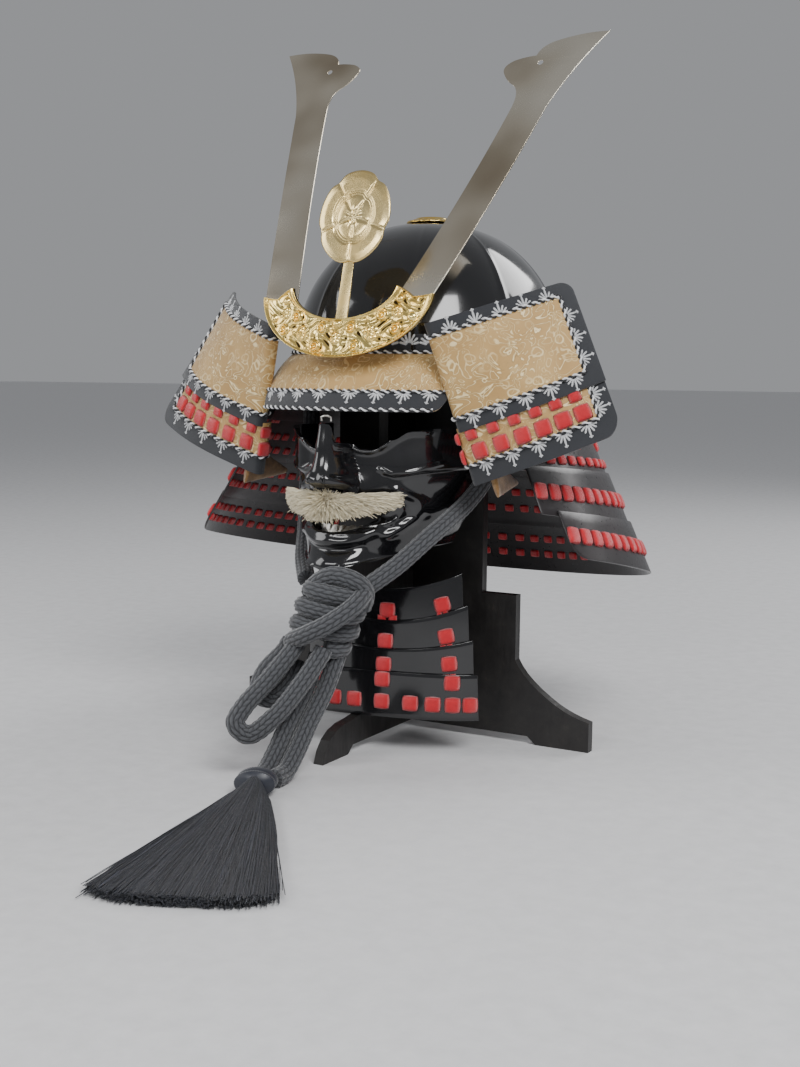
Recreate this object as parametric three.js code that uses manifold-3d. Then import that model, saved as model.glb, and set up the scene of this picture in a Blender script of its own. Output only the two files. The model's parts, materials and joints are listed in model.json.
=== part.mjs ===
// A samurai display helmet (kabuto) with its half mask, throat guard, chin cord and board stand.
// Millimetres, +Z up, the face looks along -Y and +X is the wearer's left.
import * as THREE from 'three';
import { mergeVertices } from 'three/addons/utils/BufferGeometryUtils.js';
import Module from 'manifold-3d';

const wasm = await Module();
wasm.setup();

// ---------- driving dimensions ----------
const GAP = 0.4;                     // clearance between pieces that meet
const MIDDLE = 36;                   // y of the bowl's middle, from the stand's cross board

const BOWL = { a: 117, b: 131, height: 139, rim: 322, power: 2.25, wall: 2.2, plates: 8, ridge: 1.3 };
const VISOR = { a: 138, b: 172, root: 342, edge: 295, lift: 2.6, end: 39.5, bulge: 5, wall: 2.4 };
const GUARD = { a: 118.8, b: 132.8, z: 321.2, y: MIDDLE, power: 2.2, wall: 1.6, step: 2.5 };
const GUARD_RIM = { a: 201.5, b: 171.5, z: 165.7, y: 26.5, slope: 0.2 };
// how far down the flare each neck plate starts and ends, and the angle of its front end
const NECK_LAMES = [
  { from: 0.00, to: 0.27, end: 46 },
  { from: 0.24, to: 0.52, end: 50 },
  { from: 0.49, to: 0.77, end: 57 },
  { from: 0.74, to: 1.00, end: 62.5 },
];
// the turned-back wing: its four corners, measured on the wearer's left
const WING = {
  innerTop: [79, -111, 366],
  outerTop: [168, -38, 402],
  outerLow: [232, -75, 282],
  innerLow: [114, -90, 235],
  bulge: 15,
  wall: 2.4,
  upper: [0, 0.67],
  lower: [0.645, 1],
  setback: 4,
};
const CRESCENT = { tipX: 81, notchX: 64, hornX: 51, outerZ: 392, innerZ: 398, drop: 54.5, innerDrop: 29 };
const CRESCENT_FACE = { y: -124.6, z: 369, lean: 0.235, bend: 8, thickness: 4 };
const HORN = { base: 384, y: -107.6, lean: 0.667, thickness: 1.6, drawn: { left: 0, right: 18 } };
const CREST = { z: 453.5, y: -100, lean: 0.24, half: 34, tall: 39, stem: 11, foot: 367, thickness: 1.6 };
// the throat guard hangs turned a little to the wearer's left
const THROAT = { turn: 11.5, x: 12, y: -27, power: 2.4, wall: 1.7 };
// each throat plate: half width and depth at its top and low edge, its heights, how far its ends rise
const THROAT_LAMES = [
  { topA: 82, topB: 50, lowA: 85, lowB: 52, top: 141.5, low: 109, topRise: 24, lowRise: 18, end: 46 },
  { topA: 88, topB: 55, lowA: 91, lowB: 57, top: 114, low: 81, topRise: 24, lowRise: 13, end: 48 },
  { topA: 94, topB: 59.5, lowA: 96, lowB: 61, top: 90, low: 61, topRise: 14, lowRise: 2, end: 49 },
  { topA: 99, topB: 63.5, lowA: 102, lowB: 65.5, top: 71, low: 31.5, topRise: -2, lowRise: -2, end: 50 },
];
const BOARD = {
  thickness: 9.3, neck: 75, step: 108.5, stepZ: 132, waistZ: 74, foot: 179.3, footInner: 129.4,
};
const CORD = { radius: 7.4, sides: 8 };

// ---------- small helpers ----------
const radians = (degrees) => degrees * Math.PI / 180;
const mix = (from, to, share) => from + (to - from) * share;
const vec = (x, y, z) => new THREE.Vector3(x, y, z);
const power = (value, exponent) => Math.sign(value) * Math.abs(value) ** exponent;

// a point of a rounded-square loop, at an angle from the front, with its middle at y
function loopPoint(a, b, y, z, exponent, angle) {
  const k = 2 / exponent;
  return vec(a * power(Math.sin(angle), k), y - b * power(Math.cos(angle), k), z);
}

// read a table of [position, value] rows, with smooth steps between them
function along(table, position) {
  const last = table.length - 1;
  if (position <= table[0][0]) return table[0][1];
  if (position >= table[last][0]) return table[last][1];
  const row = table.findIndex(([start]) => start > position) - 1;
  const share = (position - table[row][0]) / (table[row + 1][0] - table[row][0]);
  return mix(table[row][1], table[row + 1][1], share * share * (3 - 2 * share));
}

function fromTriangles(positions, indices) {
  const geometry = new THREE.BufferGeometry();
  geometry.setAttribute('position', new THREE.Float32BufferAttribute(positions, 3));
  geometry.setIndex(indices);
  return outward(geometry);
}

// merge shared corners, and turn the body so that its faces point out
function outward(source) {
  let geometry = source;
  geometry.deleteAttribute('normal');
  geometry.deleteAttribute('uv');
  geometry = mergeVertices(geometry, 1e-4);
  const p = geometry.getAttribute('position');
  const index = geometry.getIndex().array;
  let volume = 0;
  const [a, b, c] = [vec(0, 0, 0), vec(0, 0, 0), vec(0, 0, 0)];
  for (let i = 0; i < index.length; i += 3) {
    a.fromBufferAttribute(p, index[i]);
    b.fromBufferAttribute(p, index[i + 1]);
    c.fromBufferAttribute(p, index[i + 2]);
    volume += a.dot(b.cross(c));
  }
  if (volume < 0) {
    for (let i = 0; i < index.length; i += 3) {
      [index[i], index[i + 1]] = [index[i + 1], index[i]];
    }
  }
  geometry.computeVertexNormals();
  return geometry;
}

// a closed wall: surface(u, v) is its outer face, and the inner face lies a wall's thickness behind it.
// looped joins the two u ends, and side turns the thickness to the other side.
function shell(surface, columns, rows, wall, { looped = false, side = 1 } = {}) {
  const wide = looped ? columns : columns + 1;
  const outer = [];
  const inner = [];
  const step = 1e-3;
  for (let j = 0; j <= rows; j += 1) {
    for (let i = 0; i < wide; i += 1) {
      const [u, v] = [i / columns, j / rows];
      const point = surface(u, v);
      const lowU = looped ? u - step : Math.max(0, u - step);
      const highU = looped ? u + step : Math.min(1, u + step);
      const alongU = surface(highU, v).sub(surface(lowU, v));
      const alongV = surface(u, Math.min(1, v + step)).sub(surface(u, Math.max(0, v - step)));
      const normal = alongU.cross(alongV).normalize();
      outer.push(point);
      inner.push(point.clone().addScaledVector(normal, -wall * side));
    }
  }
  const positions = [...outer, ...inner].flatMap((p) => [p.x, p.y, p.z]);
  const shift = outer.length;
  const indices = [];
  const quad = (a, b, c, d) => indices.push(a, b, c, a, c, d);
  const at = (i, j) => j * wide + (i % wide);
  for (let j = 0; j < rows; j += 1) {
    for (let i = 0; i < columns; i += 1) {
      const [a, b, c, d] = [at(i, j), at(i + 1, j), at(i + 1, j + 1), at(i, j + 1)];
      quad(a, b, c, d);
      quad(d + shift, c + shift, b + shift, a + shift);
    }
  }
  for (let i = 0; i < columns; i += 1) {
    quad(at(i + 1, 0), at(i, 0), at(i, 0) + shift, at(i + 1, 0) + shift);
    quad(at(i, rows), at(i + 1, rows), at(i + 1, rows) + shift, at(i, rows) + shift);
  }
  if (!looped) {
    for (let j = 0; j < rows; j += 1) {
      quad(at(0, j), at(0, j + 1), at(0, j + 1) + shift, at(0, j) + shift);
      quad(at(columns, j + 1), at(columns, j), at(columns, j) + shift, at(columns, j + 1) + shift);
    }
  }
  return fromTriangles(positions, indices);
}

// a flat outline, drawn across and up, as a plate that stands in the XZ plane
function plate(shape, thickness, curveSegments = 10) {
  const geometry = new THREE.ExtrudeGeometry(shape, { depth: thickness, bevelEnabled: false, curveSegments });
  geometry.rotateX(Math.PI / 2);
  geometry.translate(0, thickness, 0);
  return outward(geometry);
}

function moved(geometry, change) {
  const p = geometry.getAttribute('position');
  for (let i = 0; i < p.count; i += 1) {
    const point = change(vec(p.getX(i), p.getY(i), p.getZ(i)));
    p.setXYZ(i, point.x, point.y, point.z);
  }
  return outward(geometry);
}

// a round tube along hand-picked points
function tube(points, radius, steps, sides = CORD.sides) {
  const path = new THREE.CatmullRomCurve3(points.map((p) => vec(...p)), false, 'centripetal');
  const section = new THREE.Shape();
  for (let i = 0; i < sides; i += 1) {
    const angle = 2 * Math.PI * (i + 0.5) / sides;
    section[i ? 'lineTo' : 'moveTo'](radius * Math.cos(angle), radius * Math.sin(angle));
  }
  section.closePath();
  return outward(new THREE.ExtrudeGeometry(section, { steps, bevelEnabled: false, extrudePath: path }));
}

const solid = (geometry) => new wasm.Manifold(new wasm.Mesh({
  numProp: 3,
  vertProperties: new Float32Array(geometry.getAttribute('position').array),
  triVerts: new Uint32Array(geometry.getIndex().array),
}));

function geometryOf(manifold) {
  const mesh = manifold.getMesh();
  return fromTriangles(Array.from(mesh.vertProperties), Array.from(mesh.triVerts));
}

const joined = (list) => geometryOf(list.map(solid).reduce((all, next) => all.add(next)));
function cut(body, tools) {
  return geometryOf(tools.map(solid).reduce((all, next) => all.subtract(next), solid(body)));
}

function block(width, depth, height, x, y, z) {
  const geometry = new THREE.BoxGeometry(width, depth, height);
  geometry.translate(x, y, z);
  return outward(geometry);
}

// ---------- finishes ----------
const finish = (color, roughness, metalness = 0) => ({ color, roughness, metalness });
const LACQUER = finish(0x0b0b0d, 0.12);
const BLACK_CLOTH = finish(0x101114, 0.85);
const BROCADE = finish(0xb98a4a, 0.7);
const GOLD = finish(0xe0b23c, 0.25, 1);
const PALE_GOLD = finish(0xcdb071, 0.35, 1);
const NICKEL = finish(0xb9b2a4, 0.3, 1);
const BRAID = finish(0x2b2d31, 0.9);
const HAIR = finish(0x10131c, 0.5);
const FUR = finish(0xe9e0c2, 0.8);
const SUEDE = finish(0x8a5a2c, 0.95);
const BOARD_BLACK = finish(0x0d0d0e, 0.6);

const kabuto = new THREE.Group();

function add(name, geometry, look) {
  const mesh = new THREE.Mesh(geometry, new THREE.MeshStandardMaterial(look));
  mesh.name = name;
  kabuto.add(mesh);
  return mesh;
}

const SIDES = [{ name: 'left', sign: 1 }, { name: 'right', sign: -1 }];
const mirrored = (geometry, sign) => (sign > 0 ? geometry : moved(geometry, (p) => vec(-p.x, p.y, p.z)));

// ---------- bowl ----------
// height share 0 is the rim and 1 the crown; grow makes a larger copy that pieces are cut back to
function bowlPoint(turn, share, grow = 0) {
  const angle = 2 * Math.PI * turn;
  const rise = Math.sin(share * radians(90));
  const level = BOWL.height * power(rise, 2 / BOWL.power);
  const spread = power(Math.cos(share * radians(90)), 2 / BOWL.power);
  const plateTurn = ((turn * BOWL.plates + 0.5) % 1 + 1) % 1;
  const ridge = BOWL.ridge * Math.max(0, 1 - Math.min(plateTurn, 1 - plateTurn) * 14) * (1 - share) ** 0.5;
  const point = loopPoint(BOWL.a + grow, BOWL.b + grow, 0, 0, BOWL.power, angle).multiplyScalar(spread);
  point.addScaledVector(point.clone().normalize(), ridge);
  return vec(point.x, point.y + MIDDLE, BOWL.rim + level * (1 + grow / BOWL.height));
}

function bowl() {
  const crown = 0.955;                       // the open top, under the fitting
  const surface = (u, v) => bowlPoint(u, v * crown);
  return shell(surface, 40, 9, BOWL.wall, { looped: true });
}

// the same form without a hollow, a little larger, for cutting what lies against it
function bowlBlank(grow) {
  const surface = (u, v) => bowlPoint(u, v * 0.98, grow);
  return shell(surface, 40, 9, 30, { looped: true });
}

function topFitting() {
  const z = BOWL.rim + BOWL.height + GAP;
  const profile = [[0, 2], [6, 2.2], [8, 4.4], [13, 5], [15, 3.5], [21, 2.2], [23, 0.8], [23, 0], [0, 0]];
  const geometry = new THREE.LatheGeometry(profile.map(([r, h]) => new THREE.Vector2(r, h)), 20);
  geometry.rotateX(Math.PI / 2);
  geometry.translate(0, MIDDLE, z);
  return outward(geometry);
}

// ---------- visor ----------
function visor() {
  const surface = (u, v) => {
    const angle = radians(mix(-VISOR.end, VISOR.end, u));
    const root = loopPoint(BOWL.a + VISOR.lift, BOWL.b + VISOR.lift, MIDDLE, VISOR.root, BOWL.power, angle);
    const edge = loopPoint(VISOR.a, VISOR.b, MIDDLE, VISOR.edge, BOWL.power, angle);
    const point = root.lerp(edge, v);
    const bulge = VISOR.bulge * Math.sin(Math.PI * v);
    return point.add(vec(bulge * 0.5 * Math.sin(angle), -bulge * 0.5 * Math.cos(angle), bulge));
  };
  return shell(surface, 20, 3, VISOR.wall, { side: -1 });
}

// ---------- neck guard ----------
// the flare of the neck guard; v runs from the bowl's rim to the lower rim
function guardPoint(angle, v, offset) {
  const point = loopPoint(
    mix(GUARD.a, GUARD_RIM.a, v) + offset,
    mix(GUARD.b, GUARD_RIM.b, v) + offset,
    mix(GUARD.y, GUARD_RIM.y, v),
    mix(GUARD.z, GUARD_RIM.z, v),
    GUARD.power,
    angle,
  );
  point.z -= GUARD_RIM.slope * v * point.y;
  return point;
}

const wingCorner = (name) => vec(...WING[name]);

// the fold of the wing at a height, where the first neck plate's front end reaches it
function foldAt(z) {
  const [top, low] = [wingCorner('innerTop'), wingCorner('innerLow')];
  return top.lerp(low, (top.z - z) / (top.z - low.z));
}

function neckLame(row, index) {
  const sweep = 360 - 2 * row.end;
  const reach = index === 0 ? 0.045 : 0;     // the first plate runs on forwards to the wing's fold
  const surface = (u, v) => {
    const level = mix(row.from, row.to, v);
    const offset = GUARD.step * index;
    const share = (u - reach) / (1 - 2 * reach);
    const inside = Math.min(1, Math.max(0, share));
    const point = guardPoint(radians(row.end + sweep * inside), level, offset);
    const beyond = Math.max(-share, share - 1, 0) / reach * (1 - 2 * reach);
    if (beyond > 0) {
      const fold = foldAt(point.z);
      fold.y += 7;
      if (point.x < 0) fold.x *= -1;
      fold.z = point.z;
      point.lerp(fold, beyond);
    }
    return point;
  };
  return shell(surface, index === 0 ? 44 : 28, 1, GUARD.wall, { side: 1 });
}

// ---------- wings ----------
function wingPoint(u, v) {
  const top = wingCorner('innerTop').lerp(wingCorner('outerTop'), u);
  const low = wingCorner('innerLow').lerp(wingCorner('outerLow'), u);
  const point = top.lerp(low, v);
  const front = vec(0.62, -0.78, 0.04);
  const swell = Math.sin(Math.PI * u) * (0.75 + 0.25 * Math.sin(Math.PI * v));
  return point.addScaledVector(front, WING.bulge * swell);
}

function wing([from, to], setback) {
  const back = vec(-0.62, 0.78, -0.04).multiplyScalar(setback);
  const surface = (u, v) => wingPoint(u, mix(from, to, v)).add(back);
  return shell(surface, 9, 3, WING.wall, { side: -1 });
}

// ---------- crest ----------
function crescentPoint(point) {
  const face = CRESCENT_FACE;
  const y = face.y + (point.z - face.z) * face.lean + face.bend * (point.x / CRESCENT.tipX) ** 2;
  return vec(point.x, point.y + y, point.z);
}

function crescent() {
  const outline = new THREE.Shape();
  const steps = 14;
  for (let i = 0; i <= steps; i += 1) {
    const angle = Math.PI * mix(1.02, 1.98, i / steps);
    const point = [CRESCENT.tipX * 1.01 * Math.cos(angle), CRESCENT.outerZ + CRESCENT.drop * Math.sin(angle)];
    outline[i ? 'lineTo' : 'moveTo'](...point);
  }
  outline.lineTo(CRESCENT.notchX, 384);
  for (let i = 0; i <= steps; i += 1) {
    const angle = Math.PI * mix(1.97, 1.03, i / steps);
    outline.lineTo(CRESCENT.hornX * Math.cos(angle), CRESCENT.innerZ + CRESCENT.innerDrop * Math.sin(angle));
  }
  outline.lineTo(-CRESCENT.notchX, 384);
  outline.closePath();
  const body = moved(plate(outline, CRESCENT_FACE.thickness), crescentPoint);
  const sockets = SIDES.map(({ sign }) => block(26, 6, 12, sign * 65, -110, 377.5));
  return joined([body, ...sockets]);
}

// drawn across and up the blade, for the horn that is pushed right home; drawn is how far up the other stands
function hornOutline(drawn) {
  const at = (x, up) => [x + 0.4 * drawn, up + drawn * Math.min(1, up / 60)];
  const outline = new THREE.Shape();
  outline.moveTo(...at(44, 0));
  outline.lineTo(...at(77, 0));
  outline.quadraticCurveTo(...at(103, 90), ...at(126, 197));
  outline.quadraticCurveTo(...at(139, 240), ...at(164, 278.5));
  outline.quadraticCurveTo(...at(140, 281), ...at(116, 274));
  outline.quadraticCurveTo(...at(103, 270), ...at(101, 259));
  outline.quadraticCurveTo(...at(92, 259), ...at(82, 256));
  outline.quadraticCurveTo(...at(71, 251), ...at(74, 243));
  outline.quadraticCurveTo(...at(79, 232), ...at(88, 226));
  outline.quadraticCurveTo(...at(96, 218), ...at(93, 200));
  outline.quadraticCurveTo(...at(76, 108), ...at(44, 0));
  const hole = new THREE.Path();
  hole.absarc(...at(107, 250), 2.6, 0, 2 * Math.PI, true);
  outline.holes.push(hole);
  return outline;
}

function horn(sign, drawn) {
  const tilt = Math.hypot(1, HORN.lean);
  const change = (p) => {
    const up = p.z / tilt;
    return vec(p.x * sign, HORN.y + up * HORN.lean + p.y, HORN.base + GAP + up);
  };
  return moved(plate(hornOutline(drawn), HORN.thickness, 6), change);
}

function crestPlate() {
  const outline = new THREE.Shape();
  const lobes = 5;
  const steps = 40;
  const halfStem = CREST.stem / 2;
  for (let i = 0; i <= steps; i += 1) {
    const angle = radians(mix(-81, 261, i / steps));
    const ripple = 1 - 0.075 * Math.abs(Math.cos(lobes * (angle - radians(90)) / 2)) ** 6;
    const [x, z] = [CREST.half * ripple * Math.cos(angle), CREST.tall * ripple * Math.sin(angle)];
    outline[i ? 'lineTo' : 'moveTo'](x, z);
  }
  outline.lineTo(-halfStem, CREST.foot - CREST.z);
  outline.lineTo(halfStem, CREST.foot - CREST.z);
  outline.closePath();
  const lean = (p) => vec(p.x, CREST.y + p.z * CREST.lean + p.y, CREST.z + p.z);
  return moved(plate(outline, CREST.thickness, 8), lean);
}

function crestBracket() {
  const body = block(24, 36, 19, 0, -101.5, 356);
  return cut(body, [bowlBlank(GAP)]);
}

// ---------- mask ----------
// rows by height: half width, and how far forward the face lies
const MASK_HALF = [[160, 62], [185, 64], [215, 71], [250, 77.5], [285, 78.5]];
const MASK_POWER = [[165, 1.75], [200, 1.9], [240, 2.1]];
const MASK_FRONT = [[162, -144], [180, -138], [192, -138], [199, -134], [207, -127], [226, -125], [250, -121],
  [285, -121]];
const MASK_MIDDLE = -30;
const MASK_TOP = [[0, 284], [5, 283], [9, 268], [20, 262.5], [30, 262], [42, 270], [54, 277.5], [68, 279.5],
  [90, 278]];
const MASK_LOW = [[0, 162], [14, 164], [34, 169.5], [50, 174.5], [60, 179], [72, 180]];
const NOSE_RIDGE = [[222, 0], [228, 8], [232.5, 27], [237, 35], [262, 30], [284, 27]];
const NOSE_HALF = [[222, 14], [232, 20], [242, 18], [262, 12.5], [284, 10]];
const MASK = { wall: 1.8, columns: 38, rows: 17, wrap: 0.88, rear: 28, mouthHalf: 37 };

function maskPlan(s, z) {
  const half = along(MASK_HALF, z);
  const deep = MASK_MIDDLE - along(MASK_FRONT, z);
  const share = Math.min(1, Math.abs(s) / MASK.wrap);
  const beyond = Math.max(0, (Math.abs(s) - MASK.wrap) / (1 - MASK.wrap));
  const angle = Math.sign(s) * share * Math.PI / 2;
  const point = loopPoint(half, deep, MASK_MIDDLE, z, along(MASK_POWER, z), angle);
  point.y += beyond * MASK.rear;
  return point;
}

function maskPoint(s, v) {
  const guide = maskPlan(s, 200);
  const rearRise = Math.max(0, guide.y + 38);
  const low = along(MASK_LOW, Math.abs(guide.x)) + rearRise * 1.05;
  const top = along(MASK_TOP, Math.abs(maskPlan(s, 265).x));
  const z = mix(low, Math.max(top, low + 12), v);
  const point = maskPlan(s, z);
  // nose
  const noseHalf = along(NOSE_HALF, z);
  const across = Math.abs(point.x) / noseHalf;
  if (across < 1) point.y -= along(NOSE_RIDGE, z) * (1 - across ** 3) ** 0.8;
  // cheekbone flange, standing out above a hollow
  const side = Math.min(1, Math.max(0, (Math.abs(point.x) - 34) / 14));
  const flangeLow = 240 + 0.1 * Math.max(0, Math.abs(point.x) - 46);
  const ledge = Math.min(1, Math.max(0, (z - flangeLow) / 3.5));
  const out = 4.2 * side * ledge;
  point.add(vec(Math.sign(point.x) * out * 0.7, -out * 0.7, 0));
  return point;
}

function mask() {
  const body = shell((u, v) => maskPoint(2 * u - 1, v), MASK.columns, MASK.rows, MASK.wall, { side: 1 });
  const mouth = new THREE.Shape();
  mouth.moveTo(-MASK.mouthHalf, 210);
  mouth.quadraticCurveTo(-28, 194.5, 0, 194);
  mouth.quadraticCurveTo(28, 194.5, MASK.mouthHalf, 210);
  mouth.quadraticCurveTo(0, 218, -MASK.mouthHalf, 210);
  const opening = plate(mouth, 90, 6);
  opening.translate(0, -170, 0);
  const nostrils = [-1, 1].map((sign) => {
    const geometry = new THREE.CylinderGeometry(4.6, 4.6, 26, 10);
    geometry.rotateX(radians(-28));
    geometry.translate(sign * 9.5, -134, 230);
    return outward(geometry);
  });
  return cut(body, [opening, ...nostrils]);
}

function moustache() {
  const surface = (u, v) => {
    const s = 2 * u - 1;
    const x = 54 * s;
    const y = -143 + 29.5 * s * s;
    const angle = 2 * Math.PI * v;
    const tall = 9.6 * (1 - 0.45 * Math.abs(s) ** 6);
    const middle = 218.7 + 5.5 * s * s;
    const lean = Math.abs(s) ** 2;
    return vec(x, y + 5.5 * Math.cos(angle) + lean * 2, middle + tall * Math.sin(angle));
  };
  return tubeBody(surface, 14, 8);
}

// a closed body whose rings are surface(u, 0..1), with its ends capped
function tubeBody(surface, columns, sides) {
  const positions = [];
  const indices = [];
  for (let i = 0; i <= columns; i += 1) {
    for (let j = 0; j < sides; j += 1) {
      const p = surface(i / columns, j / sides);
      positions.push(p.x, p.y, p.z);
    }
  }
  for (let i = 0; i < columns; i += 1) {
    for (let j = 0; j < sides; j += 1) {
      const next = (j + 1) % sides;
      const [a, b] = [i * sides + j, i * sides + next];
      const [c, d] = [b + sides, a + sides];
      indices.push(a, b, c, a, c, d);
    }
  }
  for (let j = 1; j < sides - 1; j += 1) {
    const last = columns * sides;
    indices.push(0, j + 1, j);
    indices.push(last, last + j, last + j + 1);
  }
  return fromTriangles(positions, indices);
}

function teeth() {
  const surface = (u, v) => {
    const angle = radians(mix(-24, 24, u));
    const bite = 1.2 * Math.abs(Math.sin(u * 8 * Math.PI));
    return vec(74 * Math.sin(angle), -30 - 92 * Math.cos(angle) + 3 * v, mix(190, 197.5, v) + bite * v);
  };
  return shell(surface, 24, 1, 1.6, { side: 1 });
}

function browHook() {
  const points = [[-4.5, -141, 285.6], [-4.5, -141.5, 289], [4.5, -141.5, 289], [4.5, -141, 285.6]];
  return tube(points, 0.9, 5, 6);
}

// ---------- throat guard ----------
function throatLame(row) {
  const surface = (u, v) => {
    const angle = radians(mix(-row.end, row.end, u));
    const [half, deep] = [mix(row.topA, row.lowA, v), mix(row.topB, row.lowB, v)];
    const point = loopPoint(half, deep, 0, mix(row.top, row.low, v), THROAT.power, angle);
    point.z += mix(row.topRise, row.lowRise, v) * (point.x / half) ** 2;
    return point;
  };
  const body = shell(surface, 20, 1, THROAT.wall, { side: -1 });
  body.rotateZ(radians(THROAT.turn));
  body.translate(THROAT.x, THROAT.y, 0);
  return body;
}

// ---------- suede ear flaps ----------
function earFlap() {
  const surface = (u, v) => {
    const angle = 2 * Math.PI * v;
    const tall = mix(20, 3, u);
    const y = mix(-80, -28, u);
    const lean = 0.25 * Math.sin(angle) * tall;
    return vec(122 - lean + 3 * Math.cos(angle) - 4 * u, y, 243 - 9 * u + tall * Math.sin(angle) * 0.9);
  };
  return tubeBody(surface, 6, 10);
}

// ---------- stand ----------
const bowlInside = (x, y) => {
  const [a, b] = [BOWL.a - BOWL.wall, BOWL.b - BOWL.wall];
  const spread = Math.abs(x / a) ** BOWL.power + Math.abs((y - MIDDLE) / b) ** BOWL.power;
  return BOWL.rim + (BOWL.height - BOWL.wall) * Math.max(0, 1 - spread) ** (1 / BOWL.power) - 5;
};

function slot(outline, from, to, low, high) {
  outline.lineTo(from, low);
  outline.lineTo(from, high);
  outline.lineTo(to, high);
  outline.lineTo(to, low);
}

const SLOT_Z = 200;

function crossBoard() {
  const half = BOARD.thickness / 2 + GAP;
  const outline = new THREE.Shape();
  outline.moveTo(-BOARD.foot, 0);
  outline.lineTo(-BOARD.footInner, 0);
  outline.lineTo(-BOARD.footInner + 8, 7);
  slot(outline, -half, half, 7, SLOT_Z);
  outline.lineTo(BOARD.footInner - 8, 7);
  outline.lineTo(BOARD.footInner, 0);
  outline.lineTo(BOARD.foot, 0);
  outline.lineTo(BOARD.foot, 26);
  outline.quadraticCurveTo(BOARD.foot - 22, 31, BOARD.foot - 38, 42);
  outline.quadraticCurveTo(BOARD.step + 8, 58, BOARD.step, BOARD.waistZ);
  outline.lineTo(BOARD.step, BOARD.stepZ);
  outline.lineTo(BOARD.neck, BOARD.stepZ);
  const steps = 12;
  for (let i = 0; i <= steps; i += 1) {
    const x = mix(BOARD.neck, -BOARD.neck, i / steps);
    outline.lineTo(x, bowlInside(x, 0));
  }
  outline.lineTo(-BOARD.neck, BOARD.stepZ);
  outline.lineTo(-BOARD.step, BOARD.stepZ);
  outline.lineTo(-BOARD.step, BOARD.waistZ);
  outline.quadraticCurveTo(-BOARD.step - 8, 58, -BOARD.foot + 38, 42);
  outline.quadraticCurveTo(-BOARD.foot + 22, 31, -BOARD.foot, 26);
  outline.closePath();
  return plate(outline, BOARD.thickness, 5);
}

function spineBoard() {
  const [near, far] = [-GAP, BOARD.thickness + GAP];
  const outline = new THREE.Shape();
  outline.moveTo(-152, 0);
  outline.lineTo(-112, 0);
  outline.lineTo(-104, 7);
  outline.lineTo(104, 7);
  outline.lineTo(112, 0);
  outline.lineTo(152, 0);
  outline.quadraticCurveTo(146, 24, 116, 30);
  outline.quadraticCurveTo(84, 40, 76, 74);
  outline.lineTo(76, 320);
  const steps = 5;
  for (let i = 0; i < steps; i += 1) {
    const y = mix(76, far, i / steps);
    outline.lineTo(y, bowlInside(BOARD.thickness / 2, y));
  }
  slot(outline, far, near, bowlInside(BOARD.thickness / 2, near), SLOT_Z - GAP);
  outline.lineTo(-48, bowlInside(BOARD.thickness / 2, -48));
  outline.lineTo(-48, 176);
  outline.lineTo(-122, 172);
  outline.lineTo(-126, 160);
  outline.lineTo(-70, 149);
  outline.lineTo(-70, 70);
  outline.quadraticCurveTo(-72, 29, -104, 29);
  outline.quadraticCurveTo(-145, 29, -152, 0);
  const geometry = plate(outline, BOARD.thickness, 5);
  return moved(geometry, (p) => vec(BOARD.thickness / 2 - p.y, p.x, p.z));
}

// ---------- chin cord and tassel ----------
const LEFT_RUN = [
  [100, -5, 319], [98, -12, 292], [94, -18, 262], [89, -24, 238], [83, -44, 218], [78.5, -73, 203],
  [71, -97, 189], [54, -116, 168], [34, -131, 150],
];
const RIGHT_RUN = [
  [-100, -5, 319], [-98, -12, 294], [-92, -24, 268], [-88.5, -33, 246], [-84, -42, 212],
  [-77, -55, 183], [-60, -84, 163], [-34, -119, 150],
];
// the bow and the tails are laid out across, out from the throat guard, and up, from the knot's middle
const BOW_TURN = 29.5;
const LONG_LOOP = [
  [-24, 8, 106], [-27, 12, 101], [-47, 24, 77], [-65, 36, 58], [-71, 42, 46], [-61, 42, 37],
  [-40, 38, 51], [-21, 28, 73], [-5, 16, 96], [-2, 14, 102],
];
const SHORT_LOOP = [
  [-31, -8, 104], [-35, -4, 97], [-51, 4, 80], [-56, 8, 64], [-47, 2, 57], [-31, -8, 70], [-24, -14, 86],
];
const TAIL_1 = [[-8, -1, 94], [-18, 8, 66], [-30, 20, 42], [-40, 34, 20], [-47, 48, 8.2], [-54, 64, 7.6]];
const TAIL_2 = [
  [8.5, -1, 94], [-1.5, 8, 66], [-13.5, 20, 42], [-23.5, 34, 20], [-31, 48, 8.2], [-38.2, 64, 7.6],
];
const KNOT = { x: 8, y: -151, z: 125.5 };
const TASSEL = { across: -50, out: 78, length: 222, spread: 58, heading: radians(-67), locks: 9 };

// a point given across, out and up, in the object's own frame
function bowPoint([across, out, up]) {
  const turn = radians(BOW_TURN);
  return [
    KNOT.x + across * Math.cos(turn) + out * Math.sin(turn),
    KNOT.y + across * Math.sin(turn) - out * Math.cos(turn),
    up,
  ];
}

function knot(grow = 0) {
  const ring = (major, tilt, lift, stretch) => {
    const geometry = new THREE.TorusGeometry(major, CORD.radius + 0.6 + grow, 7, 16);
    geometry.scale(1.15, 0.8, stretch);
    geometry.rotateX(tilt[0]);
    geometry.rotateY(tilt[1]);
    geometry.translate(KNOT.x + lift[0], KNOT.y + lift[1], KNOT.z + lift[2]);
    return outward(geometry);
  };
  const core = new THREE.SphereGeometry(21 + grow, 12, 8);
  core.scale(1, 0.85, 1.25);
  core.translate(KNOT.x, KNOT.y, KNOT.z);
  return joined([
    outward(core),
    ring(23, [radians(90), radians(28)], [2, -1, 13], 1.2),
    ring(25, [radians(90), radians(34)], [3, 0, 2], 1.2),
    ring(21, [radians(90), radians(20)], [-7, 0, -15], 1.2),
  ]);
}

// a stretch of the cord that comes out of the knot
const fromKnot = (points, steps) => cut(tube(points.map(bowPoint), CORD.radius, steps), [knot(GAP)]);

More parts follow.
